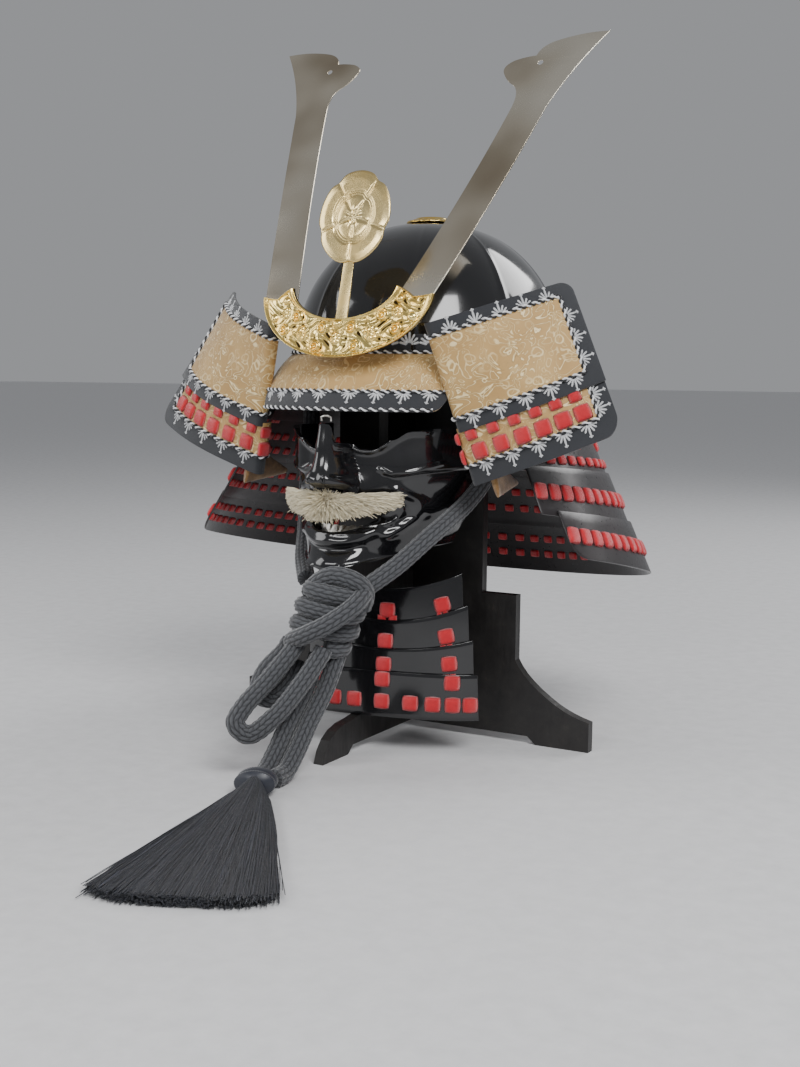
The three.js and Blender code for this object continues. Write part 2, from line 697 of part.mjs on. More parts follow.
function tasselHead() {
  const [x, y] = bowPoint([TASSEL.across, TASSEL.out, 0]);
  const geometry = new THREE.CylinderGeometry(17, 15, 20, 16);
  geometry.rotateZ(radians(90));
  geometry.scale(1, 1, 0.62);
  geometry.rotateZ(TASSEL.heading);
  geometry.translate(x, y, 10.6);
  return outward(geometry);
}

function tasselHair() {
  const forward = vec(Math.cos(TASSEL.heading), Math.sin(TASSEL.heading), 0);
  const across = vec(-forward.y, forward.x, 0);
  const start = vec(...bowPoint([TASSEL.across, TASSEL.out, 0])).addScaledVector(forward, 10.5);
  const locks = [];
  for (let k = 0; k < TASSEL.locks; k += 1) {
    const turn = 2 * k / (TASSEL.locks - 1) - 1;
    const long = TASSEL.length - 10 * turn * turn;
    const surface = (u, v) => {
      const angle = 2 * Math.PI * (v + 0.25 / 6);
      const aside = turn * mix(9, TASSEL.spread, u ** 0.8);
      const wide = mix(5.5, 10.5, u);
      const tall = mix(9.5, 5, u) * (1 - 0.3 * turn * turn);
      const middle = start.clone().addScaledVector(forward, long * u).addScaledVector(across, aside);
      middle.addScaledVector(across, wide * Math.cos(angle));
      middle.z = tall + 0.2 + tall * Math.sin(angle);
      return middle;
    };
    locks.push(tubeBody(surface, 4, 6));
  }
  return joined(locks);
}

// ---------- assembly ----------
add('bowl', bowl(), LACQUER);
add('top_fitting', topFitting(), GOLD);
add('visor', visor(), BROCADE);
NECK_LAMES.forEach((row, index) => add(`neck_lame_${index + 1}`, neckLame(row, index), LACQUER));
for (const { name, sign } of SIDES) {
  add(`wing_upper_${name}`, mirrored(wing(WING.upper, 0), sign), BROCADE);
  add(`wing_lower_${name}`, mirrored(wing(WING.lower, WING.setback), sign), BLACK_CLOTH);
  add(`ear_flap_${name}`, mirrored(earFlap(), sign), SUEDE);
  add(`horn_${name}`, horn(sign, HORN.drawn[name]), NICKEL);
}
add('crescent_base', crescent(), GOLD);
add('crest_bracket', crestBracket(), GOLD);
add('crest_plate', crestPlate(), PALE_GOLD);
add('mask', mask(), LACQUER);
add('moustache', moustache(), FUR);
add('teeth', teeth(), NICKEL);
add('brow_hook', browHook(), NICKEL);
THROAT_LAMES.forEach((row, index) => add(`throat_lame_${index + 1}`, throatLame(row), LACQUER));
add('stand_cross_board', crossBoard(), BOARD_BLACK);
add('stand_spine_board', spineBoard(), BOARD_BLACK);
add('chin_cord_left', cut(tube(LEFT_RUN, CORD.radius, 15), [knot(GAP)]), BRAID);
add('chin_cord_right', cut(tube(RIGHT_RUN, CORD.radius, 15), [knot(GAP)]), BRAID);
add('cord_knot', knot(), BRAID);
add('cord_loop_long', fromKnot(LONG_LOOP, 16), BRAID);
add('cord_loop_short', fromKnot(SHORT_LOOP, 10), BRAID);
add('cord_tail_1', fromKnot(TAIL_1, 8), BRAID);
add('cord_tail_2', fromKnot(TAIL_2, 8), BRAID);
add('tassel_head', tasselHead(), HAIR);
add('tassel_hair', tasselHair(), HAIR);

// the origin is on the floor, under the middle of everything but the cord and its tassel
const CORDED = /^(chin_cord|cord_|tassel_)/;
const reach = new THREE.Box3();
for (const mesh of kabuto.children.filter(({ name }) => !CORDED.test(name))) reach.expandByObject(mesh);
kabuto.position.y = -(reach.min.y + reach.max.y) / 2;

export default kabuto;
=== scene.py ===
import json
import math

import bmesh
import bpy
import numpy as np
from bpy.props import FloatProperty, FloatVectorProperty, IntProperty, PointerProperty
from mathutils import Matrix, Vector

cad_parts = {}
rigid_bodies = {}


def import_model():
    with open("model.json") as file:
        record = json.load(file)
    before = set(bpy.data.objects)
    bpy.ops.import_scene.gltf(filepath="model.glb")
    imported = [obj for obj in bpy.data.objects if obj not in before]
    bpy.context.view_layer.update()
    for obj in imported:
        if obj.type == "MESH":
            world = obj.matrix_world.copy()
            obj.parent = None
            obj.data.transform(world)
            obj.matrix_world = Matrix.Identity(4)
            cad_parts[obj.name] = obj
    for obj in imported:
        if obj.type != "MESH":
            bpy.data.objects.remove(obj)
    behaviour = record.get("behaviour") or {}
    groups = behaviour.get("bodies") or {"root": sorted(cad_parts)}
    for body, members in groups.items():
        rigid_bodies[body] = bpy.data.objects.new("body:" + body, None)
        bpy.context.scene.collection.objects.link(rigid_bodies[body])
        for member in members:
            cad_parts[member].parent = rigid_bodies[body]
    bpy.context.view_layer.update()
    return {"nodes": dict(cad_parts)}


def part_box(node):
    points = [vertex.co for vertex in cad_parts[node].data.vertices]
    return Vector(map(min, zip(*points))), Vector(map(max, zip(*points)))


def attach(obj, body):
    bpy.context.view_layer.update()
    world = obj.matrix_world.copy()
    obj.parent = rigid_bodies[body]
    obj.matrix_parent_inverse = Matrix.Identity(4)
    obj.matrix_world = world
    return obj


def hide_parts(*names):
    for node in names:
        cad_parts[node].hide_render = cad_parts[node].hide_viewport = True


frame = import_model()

bl_info = {
    "name": "Kabuto helmet",
    "version": (1, 0, 0),
    "blender": (4, 5, 0),
    "location": "3D View > Sidebar > Kabuto",
    "description": "Dresses the packed samurai helmet, mask, cord and stand, and sets the stage",
    "category": "Object",
}

MM = 0.001
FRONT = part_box("stand_cross_board")[0].y      # the front face of the cross board, where y is 0 below

# ---------- shapes that the pieces follow, in millimetres from the cross board's front face ----------
MIDDLE = 36.0
BOWL = {"a": 117.0, "b": 131.0, "height": 139.0, "rim": 322.0, "power": 2.25, "wall": 2.2, "plates": 8}
VISOR = {"a": 138.0, "b": 172.0, "root": 342.0, "edge": 295.0, "lift": 2.6, "end": 39.5, "bulge": 5.0}
GUARD = {"a": 118.8, "b": 132.8, "z": 321.2, "y": MIDDLE, "power": 2.2, "wall": 1.6, "step": 2.5}
GUARD_RIM = {"a": 201.5, "b": 171.5, "z": 165.7, "y": 26.5, "slope": 0.2}
NECK_LAMES = [(0.0, 0.27, 46.0), (0.24, 0.52, 50.0), (0.49, 0.77, 57.0), (0.74, 1.0, 62.5)]
WING = {
    "inner_top": (79.0, -111.0, 366.0),
    "outer_top": (168.0, -38.0, 402.0),
    "outer_low": (232.0, -75.0, 282.0),
    "inner_low": (114.0, -90.0, 235.0),
    "bulge": 15.0,
    "wall": 2.4,
}
WING_BACK = np.array([-0.62, 0.78, -0.04])
WING_PARTS = {"upper": (0.0, 0.67, 0.0), "lower": (0.645, 1.0, 4.0)}
CRESCENT = {"tip": 81.0, "notch": 64.0, "horn": 51.0, "outer_z": 392.0, "inner_z": 398.0, "drop": 54.5,
            "inner_drop": 29.0, "y": -124.6, "z": 369.0, "lean": 0.235, "bend": 8.0, "thickness": 4.0}
HORN = {"base": 384.4, "y": -107.6, "lean": 0.667, "thickness": 1.6}
HORN_DRAWN = {"left": 0.0, "right": 18.0}
CREST_THICK = 1.2
CREST = {"z": 453.5, "y": -100.0, "lean": 0.24, "half": 34.0, "tall": 39.0, "stem": 11.0, "foot": 367.0}
THROAT = {"turn": 11.5, "x": 12.0, "y": -27.0, "power": 2.4, "wall": 1.7}
# half width and depth at the top and at the low edge, the two heights, how far the ends rise, the end's angle
THROAT_LAMES = [
    (82.0, 50.0, 85.0, 52.0, 141.5, 109.0, 24.0, 18.0, 46.0),
    (88.0, 55.0, 91.0, 57.0, 114.0, 81.0, 24.0, 13.0, 48.0),
    (94.0, 59.5, 96.0, 61.0, 90.0, 61.0, 14.0, 2.0, 49.0),
    (99.0, 63.5, 102.0, 65.5, 71.0, 31.5, -2.0, -2.0, 50.0),
]
MASK_HALF = [(160, 62), (185, 64), (215, 71), (250, 77.5), (285, 78.5)]
MASK_POWER = [(165, 1.75), (200, 1.9), (240, 2.1)]
MASK_FRONT = [(162, -144), (180, -138), (192, -138), (199, -134), (207, -127), (226, -125), (250, -121),
              (285, -121)]
MASK_MIDDLE = -30.0
MASK_TOP = [(0, 284), (5, 283), (9, 268), (20, 262.5), (30, 262), (42, 270), (54, 277.5), (68, 279.5),
            (90, 278)]
MASK_LOW = [(0, 162), (14, 164), (34, 169.5), (50, 174.5), (60, 179), (72, 180)]
NOSE_RIDGE = [(222, 0), (228, 8), (232.5, 27), (237, 35), (262, 30), (284, 27)]
NOSE_HALF = [(222, 14), (232, 20), (242, 18), (262, 12.5), (284, 10)]
MASK = {"wall": 1.8, "wrap": 0.88, "rear": 28.0, "mouth": 37.0}

# the cord's routes, and how its bow is laid out: across, out from the throat guard, and up
CORD_RADIUS = 7.4
LEFT_RUN = [(100, -5, 319), (98, -12, 292), (94, -18, 262), (89, -24, 238), (83, -44, 218), (78.5, -73, 203),
            (71, -97, 189), (54, -116, 168), (34, -131, 150)]
RIGHT_RUN = [(-100, -5, 319), (-98, -12, 294), (-92, -24, 268), (-88.5, -33, 246), (-84, -42, 212),
             (-77, -55, 183), (-60, -84, 163), (-34, -119, 150)]
BOW_TURN = 29.5
LONG_LOOP = [(-24, 8, 106), (-27, 12, 101), (-47, 24, 77), (-65, 36, 58), (-71, 42, 46), (-61, 42, 37),
             (-40, 38, 51), (-21, 28, 73), (-5, 16, 96), (-2, 14, 102)]
SHORT_LOOP = [(-31, -8, 104), (-35, -4, 97), (-51, 4, 80), (-56, 8, 64), (-47, 2, 57), (-31, -8, 70),
              (-24, -14, 86)]
TAIL_1 = [(-8, -1, 94), (-18, 8, 66), (-30, 20, 42), (-40, 34, 20), (-47, 48, 8.2), (-54, 64, 7.6)]
TAIL_2 = [(8.5, -1, 94), (-1.5, 8, 66), (-13.5, 20, 42), (-23.5, 34, 20), (-31, 48, 8.2), (-38.2, 64, 7.6)]
KNOT = (8.0, -151.0, 125.5)
TASSEL = {"across": -50.0, "out": 78.0, "length": 222.0, "spread": 58.0, "heading": math.radians(-67)}


# ---------- small helpers ----------
def mix(start, end, share):
    return start + (end - start) * share


def smooth(share):
    share = np.clip(share, 0.0, 1.0)
    return share * share * (3 - 2 * share)


def signed_power(value, exponent):
    return np.sign(value) * np.abs(value) ** exponent


def along(table, position):
    """Read a table of position and value, with smooth steps between its rows."""
    starts = np.array([row[0] for row in table], float)
    values = np.array([row[1] for row in table], float)
    position = np.clip(position, starts[0], starts[-1])
    row = np.clip(np.searchsorted(starts, position, side="right") - 1, 0, len(table) - 2)
    share = smooth((position - starts[row]) / (starts[row + 1] - starts[row]))
    return mix(values[row], values[row + 1], share)


def stack(x, y, z):
    return np.stack(np.broadcast_arrays(x, y, z), axis=-1).astype(float)


def loop_point(a, b, y, z, exponent, angle):
    """A point of a rounded-square loop, at an angle from the front, with its middle at y."""
    k = 2 / exponent
    return stack(a * signed_power(np.sin(angle), k), y - b * signed_power(np.cos(angle), k), z)


def placed(points):
    """From millimetres off the cross board's front face to metres in the frame."""
    result = np.asarray(points, float) * MM
    result[..., 1] += FRONT
    return result


def unit(vectors):
    return vectors / np.maximum(np.linalg.norm(vectors, axis=-1, keepdims=True), 1e-12)


def normal_of(surface, u, v, side=1):
    step = 1e-3
    across = surface(u + step, v) - surface(u - step, v)
    down = surface(u, v + step) - surface(u, v - step)
    return side * unit(np.cross(across, down))


def gauss(distance, width):
    return np.exp(-(distance / width) ** 2)


def distance_to(points, line):
    """How far each point is from a line of straight stretches."""
    line = np.asarray(line, float)
    best = np.full(points.shape[:-1], 1e9)
    for a, b in zip(line[:-1], line[1:]):
        ab = b - a
        t = np.clip(((points - a) @ ab) / (ab @ ab), 0, 1)
        best = np.minimum(best, np.linalg.norm(points - (a + t[..., None] * ab), axis=-1))
    return best


def curve_points(points, count):
    """Evenly spaced points on a smooth line through a few points."""
    p = np.asarray(points, float)
    p = np.vstack([2 * p[0] - p[1], p, 2 * p[-1] - p[-2]])
    knots = np.concatenate([[0], np.cumsum(np.sqrt(np.linalg.norm(np.diff(p, axis=0), axis=1)))])
    dense = []
    for i in range(1, len(p) - 2):
        t0, t1, t2, t3 = knots[i - 1:i + 3]
        t = np.linspace(t1, t2, 40, endpoint=i == len(p) - 3)[:, None]
        a1 = (t1 - t) / (t1 - t0) * p[i - 1] + (t - t0) / (t1 - t0) * p[i]
        a2 = (t2 - t) / (t2 - t1) * p[i] + (t - t1) / (t2 - t1) * p[i + 1]
        a3 = (t3 - t) / (t3 - t2) * p[i + 1] + (t - t2) / (t3 - t2) * p[i + 2]
        b1 = (t2 - t) / (t2 - t0) * a1 + (t - t0) / (t2 - t0) * a2
        b2 = (t3 - t) / (t3 - t1) * a2 + (t - t1) / (t3 - t1) * a3
        dense.append((t2 - t) / (t2 - t1) * b1 + (t - t1) / (t2 - t1) * b2)
    return evenly(np.vstack(dense), count)


def evenly(line, count):
    run = np.concatenate([[0], np.cumsum(np.linalg.norm(np.diff(line, axis=0), axis=1))])
    at = np.linspace(0, run[-1], count)
    return np.stack([np.interp(at, run, line[:, k]) for k in range(3)], axis=1)


def length_of(line):
    return float(np.linalg.norm(np.diff(line, axis=0), axis=1).sum())


# ---------- meshes ----------
def mesh_from(name, points, faces, uv=None, attributes=None):
    mesh = bpy.data.meshes.new(name)
    mesh.from_pydata(np.asarray(points, float).reshape(-1, 3).tolist(), [], faces)
    if uv is not None:
        layer = mesh.uv_layers.new(name="UVMap")
        corner = np.empty(len(mesh.loops), np.int32)
        mesh.loops.foreach_get("vertex_index", corner)
        layer.data.foreach_set("uv", np.asarray(uv, float)[corner].ravel())
    for key, values in (attributes or {}).items():
        data = mesh.attributes.new(key, "FLOAT", "POINT")
        data.data.foreach_set("value", np.asarray(values, np.float32).ravel())
    mesh.polygons.foreach_set("use_smooth", [True] * len(mesh.polygons))
    mesh.update()
    return mesh


def piece_of(name, mesh, look):
    piece = bpy.data.objects.new(name, mesh)
    bpy.context.scene.collection.objects.link(piece)
    if look is not None:
        mesh.materials.clear()
        mesh.materials.append(look)
    return piece


def settle(piece):
    """Turn what a piece's modifiers give into its plain mesh, and drop them."""
    bpy.context.view_layer.update()
    result = piece.evaluated_get(bpy.context.evaluated_depsgraph_get())
    mesh = bpy.data.meshes.new_from_object(result)
    mesh.name = piece.name
    piece.modifiers.clear()
    piece.data = mesh
    return piece


def outwards(piece):
    """Recalculate a closed mesh's normals, so that its faces point out."""
    work = bmesh.new()
    work.from_mesh(piece.data)
    bmesh.ops.delete(work, geom=[v for v in work.verts if not v.link_faces], context="VERTS")
    bmesh.ops.recalc_face_normals(work, faces=work.faces)
    work.to_mesh(piece.data)
    work.free()
    return piece


def softened(piece, width=0.0004, segments=2, angle=35):
    """Round a piece's sharp edges a little."""
    bevel = piece.modifiers.new("edge", "BEVEL")
    bevel.width = width
    bevel.segments = segments
    bevel.limit_method = "ANGLE"
    bevel.angle_limit = math.radians(angle)
    settle(piece)
    piece.data.polygons.foreach_set("use_smooth", [True] * len(piece.data.polygons))
    piece.data.set_sharp_from_angle(angle=math.radians(55))
    return piece


def quads(columns, rows, looped, shift=0, flip=False):
    wide = columns if looped else columns + 1
    faces = []
    for j in range(rows):
        for i in range(columns):
            a = shift + j * wide + i
            b = shift + j * wide + (i + 1) % wide
            face = (a, b, b + wide, a + wide)
            faces.append(face[::-1] if flip else face)
    return faces


def shell(name, surface, columns, rows, wall, look, side=1, looped=False, span=(1.0, 1.0), edge=0.0004,
          us=None, vs=None,
          back=None, attributes=None, openings=()):
    """A closed wall: surface(u, v) is its outer face, and the inner face lies a wall's thickness behind,
    or follows a surface of its own. span gives the size of the cloth or metal in millimetres, for its UV."""
    us = np.linspace(0, 1, columns + 1) if us is None else us
    vs = np.linspace(0, 1, rows + 1) if vs is None else vs
    columns, rows = len(us) - 1, len(vs) - 1
    if looped:
        us = us[:-1]
    u, v = np.meshgrid(us, vs)
    outer = surface(u, v)
    inner = back(u, v) if back else outer - normal_of(surface, u, v, side) * wall
    count = u.size
    faces = quads(columns, rows, looped) + quads(columns, rows, looped, count, True)
    wide = u.shape[1]
    if openings:
        faces, outer, inner = opened(faces, outer, inner, openings)
    for i in range(columns):
        a, b = i, (i + 1) % wide
        faces.append((b, a, a + count, b + count))
        a, b = a + rows * wide, b + rows * wide
        faces.append((a, b, b + count, a + count))
    if not looped:
        for j in range(rows):
            a, b = j * wide, (j + 1) * wide
            faces.append((a, b, b + count, a + count))
            a, b = a + columns, b + columns
            faces.append((b, a, a + count, b + count))
    flat = np.stack([u.ravel() * span[0] * MM, v.ravel() * span[1] * MM], axis=1)
    points = placed(np.vstack([outer.reshape(-1, 3), inner.reshape(-1, 3)]))
    extra = {key: np.tile(values(u, v).ravel(), 2) for key, values in (attributes or {}).items()}
    piece = outwards(piece_of(name, mesh_from(name, points, faces, np.vstack([flat, flat]), extra), look))
    return softened(piece, edge) if edge else piece


def inside_outline(x, z, outline):
    """Which points, given across and up, lie inside a closed outline."""
    result = np.zeros(np.shape(x), bool)
    for (x0, z0), (x1, z1) in zip(outline, np.roll(outline, -1, 0)):
        crosses = (z0 > z) != (z1 > z)
        with np.errstate(divide="ignore", invalid="ignore"):
            result ^= crosses & (x < (x1 - x0) * (z - z0) / (z1 - z0) + x0)
    return result


def opened(faces, outer, inner, openings):
    """Leave out the faces inside some outlines, close the wall round them, and fit the rims."""
    shape, count = outer.shape, outer[..., 0].size
    flat = outer.reshape(-1, 3).copy()
    behind = inner.reshape(-1, 3).copy()
    half = len(faces) // 2
    corners = np.array(faces[:half])
    middle = flat[corners].mean(1)
    gone = np.zeros(half, bool)
    for outline in openings:
        gone |= inside_outline(middle[:, 0], middle[:, 2], outline)
    kept = [face for face, cut in zip(faces[:half], gone) if not cut]
    kept += [face for face, cut in zip(faces[half:], gone) if not cut]
    edges = {}
    for face, cut in zip(corners, gone):
        for a, b in zip(face, np.roll(face, -1)):
            edges.setdefault((min(a, b), max(a, b)), []).append(cut)
    rim = [edge for edge, cuts in edges.items() if len(cuts) == 2 and cuts[0] != cuts[1]]
    kept += [(int(a), int(b), int(b) + count, int(a) + count) for a, b in rim]
    for k in {k for edge in rim for k in edge}:
        best, shift = 1e9, None
        for outline in openings:
            near = outline - flat[k, [0, 2]]
            far = np.linalg.norm(near, axis=1)
            if far.min() < best:
                best, shift = far.min(), near[far.argmin()]
        if best < 2.5:
            flat[k, [0, 2]] += shift
            behind[k, [0, 2]] += shift
    return kept, flat.reshape(shape), behind.reshape(shape)


def part_of(surface, us=(0.0, 1.0), vs=(0.0, 1.0)):
    """A patch of a surface, with its own u and v from 0 to 1."""
    return lambda u, v: surface(mix(us[0], us[1], u), mix(vs[0], vs[1], v))


def lifted(surface, side, lift):
    """A surface moved off itself, out along its normals."""
    return lambda u, v: surface(u, v) + normal_of(surface, u, v, side) * lift


def lathe(name, profile, middle, sides, look, ripple=None):
    """A closed body turned from rows of radius and height; ripple(angle, share) lifts it."""
    profile = np.asarray(profile, float)
    angle = np.linspace(0, 2 * np.pi, sides, endpoint=False)
    points = []
    for row, (radius, height) in enumerate(profile):
        rise = ripple(angle, row / (len(profile) - 1)) if ripple else 0.0
        points.append(stack(radius * np.cos(angle), radius * np.sin(angle), height + rise))
    points = np.vstack(points + [[[0, 0, profile[0][1]]], [[0, 0, profile[-1][1]]]]) + np.asarray(middle,
                                                            float)
    faces = quads(sides, len(profile) - 1, True)
    last = len(profile) * sides
    for i in range(sides):
        faces.append(((i + 1) % sides, i, last))
        faces.append((last - sides + i, last - sides + (i + 1) % sides, last + 1))
    flat = points[:, :2] * MM
    return outwards(piece_of(name, mesh_from(name, placed(points), faces, flat), look))


def frames_along(line, looped=False):
    """Two directions across a line at each of its points, turning as little as they can."""
    step = np.roll(line, -1, 0) - np.roll(line, 1, 0) if looped else np.gradient(line, axis=0)
    tangent = unit(step)
    start = np.array([0.0, 0.0, 1.0]) if abs(tangent[0][2]) < 0.9 else np.array([1.0, 0.0, 0.0])
    side = unit(np.cross(tangent[0], start))
    sides = []
    for t in tangent:
        side = unit(side - t * (side @ t))
        sides.append(side)
    sides = np.array(sides)
    return sides, np.cross(tangent, sides)


def tube_mesh(name, line, radius, sides=12, height=None, attributes=None):
    """A tube along points in metres. height(around, run) adds to its radius, in metres."""
    line = np.asarray(line, float)
    across, over = frames_along(line)
    run = np.concatenate([[0], np.cumsum(np.linalg.norm(np.diff(line, axis=0), axis=1))])
    around = np.linspace(0, 2 * np.pi, sides, endpoint=False)
    turn, reach = np.meshgrid(around, run)
    size = np.broadcast_to(np.asarray(radius, float).reshape(-1, 1) if np.ndim(radius) else radius,
                           turn.shape)
    rise = height(turn, reach) if height else np.zeros_like(turn)
    ring = (size + rise)[..., None] * (np.cos(turn)[..., None] * across[:, None] + np.sin(turn)[...,
                                                            None] * over[:, None])
    points = (line[:, None] + ring).reshape(-1, 3)
    faces = [tuple(reversed(f)) for f in quads(sides, len(line) - 1, True)]
    last = len(points)
    points = np.vstack([points, line[0], line[-1]])
    base = (len(line) - 1) * sides
    for i in range(sides):
        faces.append((last, i, (i + 1) % sides))
        faces.append((last + 1, base + (i + 1) % sides, base + i))
    uv = np.stack([turn.ravel() / (2 * np.pi), reach.ravel()], axis=1)
    uv = np.vstack([uv, [[0, 0], [0, run[-1]]]])
    extra = {}
    if attributes:
        extra = {key: np.append(values(turn, reach).ravel(), [0, 0]) for key, values in attributes.items()}
    return mesh_from(name, points, faces, uv, extra)


def joined(name, pieces, look=None):
    """Make one piece of several, each with its own finish."""
    work = bmesh.new()
    looks = []
    for piece in pieces:
        start = len(work.faces)
        work.from_mesh(piece.data)
        work.faces.ensure_lookup_table()
        for face in work.faces[start:]:
            own = piece.data.materials[face.material_index] if piece.data.materials else None
            if own not in looks:
                looks.append(own)
            face.material_index = looks.index(own)
    mesh = bpy.data.meshes.new(name)
    work.to_mesh(mesh)
    work.free()
    for own in looks:
        mesh.materials.append(own)
    for piece in pieces:
        old = piece.data
        bpy.data.objects.remove(piece)
        bpy.data.meshes.remove(old)
    return piece_of(name, mesh, look)


def mirrored(piece, name):
    """A copy of a piece on the wearer's other side."""
    mesh = piece.data.copy()
    mesh.name = name
    mesh.transform(Matrix.Scale(-1, 4, (1, 0, 0)))
    mesh.flip_normals()
    return piece_of(name, mesh, None)


def fitted(piece, slot, *nodes):
    """The piece moves with the object and may stand for CAD nodes; slot is not used."""
    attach(piece, "root")
    if nodes:
        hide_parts(*nodes)
    return piece


# ---------- finishes ----------
class Finish:
    """A material built from its surface up: colour, roughness and bump are worked out from patterns."""

    def __init__(self, name, color, roughness, metallic=0.0, **constants):
        self.material = bpy.data.materials.new(name)
        self.material.use_nodes = True
        self.nodes = self.material.node_tree.nodes
        self.links = self.material.node_tree.links
        self.nodes.clear()
        self.shader = self.nodes.new("ShaderNodeBsdfPrincipled")
        output = self.nodes.new("ShaderNodeOutputMaterial")
        self.links.new(self.shader.outputs[0], output.inputs[0])
        self.shader.inputs["Base Color"].default_value = (*color, 1)
        self.shader.inputs["Roughness"].default_value = roughness
        self.shader.inputs["Metallic"].default_value = metallic
        for key, value in constants.items():
            self.shader.inputs[key.replace("_", " ")].default_value = value

    def feed(self, socket, value):
        if hasattr(value, "is_output") or isinstance(value, bpy.types.NodeSocket):
            self.links.new(value, socket)
        else:
            socket.default_value = value

    def math(self, operation, a, b=0.0, c=0.0, clamp=False):
        node = self.nodes.new("ShaderNodeMath")
        node.operation = operation
        node.use_clamp = clamp
        for socket, value in zip(node.inputs, (a, b, c)):
            self.feed(socket, value)
        return node.outputs[0]

    def objects(self, scale=(1, 1, 1), turn=(0, 0, 0)):
        return self.mapped(self.nodes.new("ShaderNodeTexCoord").outputs["Object"], scale, turn)

    def surface(self, scale=(1, 1, 1), turn=(0, 0, 0)):
        return self.mapped(self.nodes.new("ShaderNodeTexCoord").outputs["UV"], scale, turn)

    def mapped(self, source, scale, turn=(0, 0, 0)):
        node = self.nodes.new("ShaderNodeMapping")
        self.links.new(source, node.inputs["Vector"])
        node.inputs["Scale"].default_value = scale
        node.inputs["Rotation"].default_value = turn
        return node.outputs[0]

    def split(self, source):
        node = self.nodes.new("ShaderNodeSeparateXYZ")
        self.links.new(source, node.inputs[0])
        return node.outputs

    def attribute(self, name):
        node = self.nodes.new("ShaderNodeAttribute")
        node.attribute_name = name
        return node.outputs["Fac"]

    def noise(self, source, scale, detail=2.0, rough=0.5, distortion=0.0):
        node = self.nodes.new("ShaderNodeTexNoise")
        self.links.new(source, node.inputs["Vector"])
        node.inputs["Scale"].default_value = scale
        node.inputs["Detail"].default_value = detail
        node.inputs["Roughness"].default_value = rough
        node.inputs["Distortion"].default_value = distortion
        return node

    def cells(self, source, scale, feature="F1", randomness=1.0):
        node = self.nodes.new("ShaderNodeTexVoronoi")
        node.feature = feature
        self.links.new(source, node.inputs["Vector"])
        node.inputs["Scale"].default_value = scale
        node.inputs["Randomness"].default_value = randomness
        return node

    def waves(self, source, scale, direction="X", distortion=0.0, detail=0.0, profile="SIN"):
        node = self.nodes.new("ShaderNodeTexWave")
        node.bands_direction = direction
        node.wave_profile = profile
        self.links.new(source, node.inputs["Vector"])
        node.inputs["Scale"].default_value = scale
        node.inputs["Distortion"].default_value = distortion
        node.inputs["Detail"].default_value = detail
        return node.outputs["Fac"]

    def ramp(self, source, stops, ease="LINEAR"):
        node = self.nodes.new("ShaderNodeValToRGB")
        node.color_ramp.interpolation = ease
        self.links.new(source, node.inputs[0])
        parts = node.color_ramp.elements
        while len(parts) < len(stops):
            parts.new(0.5)
        for part, (place, color) in zip(parts, stops):
            part.position = place
            part.color = (*color, 1) if len(color) == 3 else color
        return node.outputs[0]

    def grey(self, source, stops, ease="LINEAR"):
        return self.ramp(source, [(place, (value, value, value)) for place, value in stops], ease)

    def blend(self, share, a, b, mode="MIX"):
        node = self.nodes.new("ShaderNodeMix")
        node.data_type = "RGBA"
        node.blend_type = mode
        self.feed(node.inputs[0], share)
        for socket, value in ((node.inputs[6], a), (node.inputs[7], b)):
            self.feed(socket, value if isinstance(value, bpy.types.NodeSocket) else (*value, 1))
        return node.outputs[2]

    def moved_by(self, source, amount, strength):
        node = self.nodes.new("ShaderNodeVectorMath")
        node.operation = "MULTIPLY_ADD"
        self.links.new(amount, node.inputs[0])
        node.inputs[1].default_value = (strength, strength, strength)
        self.links.new(source, node.inputs[2])
        return node.outputs[0]

    def color(self, value):
        self.links.new(value, self.shader.inputs["Base Color"])

    def roughness(self, value):
        self.links.new(value, self.shader.inputs["Roughness"])

    def bump(self, height, distance, strength=1.0):
        node = self.nodes.new("ShaderNodeBump")
        node.inputs["Strength"].default_value = strength
        node.inputs["Distance"].default_value = distance
        self.links.new(height, node.inputs["Height"])
        previous = self.shader.inputs["Normal"]
        if previous.is_linked:
            self.links.new(previous.links[0].from_socket, node.inputs["Normal"])
        self.links.new(node.outputs[0], previous)


def lacquer_finish():
    """Gloss black lacquer: faint waves, dust and fine rubbed marks."""
    look = Finish("black_lacquer", (0.006, 0.006, 0.007), 0.12, Coat_Weight=0.6, Coat_Roughness=0.06)
    place = look.objects()
    dust = look.noise(place, 900.0, 3.0, 0.6).outputs[0]
    cloud = look.noise(place, 22.0, 3.0).outputs[0]
    rubbed = look.noise(look.objects((30, 30, 400)), 6.0, 4.0, 0.7).outputs[0]
    rough = look.math("ADD", look.grey(cloud, [(0.35, 0.09), (0.75, 0.2)]),
                      look.grey(rubbed, [(0.55, 0.0), (0.8, 0.09)]))
    look.roughness(rough)
    look.color(look.blend(look.grey(dust, [(0.66, 0.0), (0.8, 0.5)]), (0.006, 0.006, 0.007),
                          (0.03, 0.03, 0.032)))
    look.bump(look.noise(place, 45.0, 2.0).outputs[0], 0.0006, 0.12)
    return look.material


def plate_finish():
    """Thinner, browner lacquer on the neck plates, a little duller."""
    look = Finish("plate_lacquer", (0.014, 0.010, 0.011), 0.3, Coat_Weight=0.25, Coat_Roughness=0.2)
    place = look.objects()
    grain = look.noise(place, 260.0, 3.0, 0.6).outputs[0]
    look.roughness(look.grey(grain, [(0.3, 0.26), (0.75, 0.42)]))
    look.color(look.ramp(look.noise(place, 30.0, 2.0).outputs[0],
                         [(0.3, (0.012, 0.010, 0.011)), (0.8, (0.024, 0.017, 0.018))]))
    look.bump(grain, 0.0002, 0.3)
    return look.material


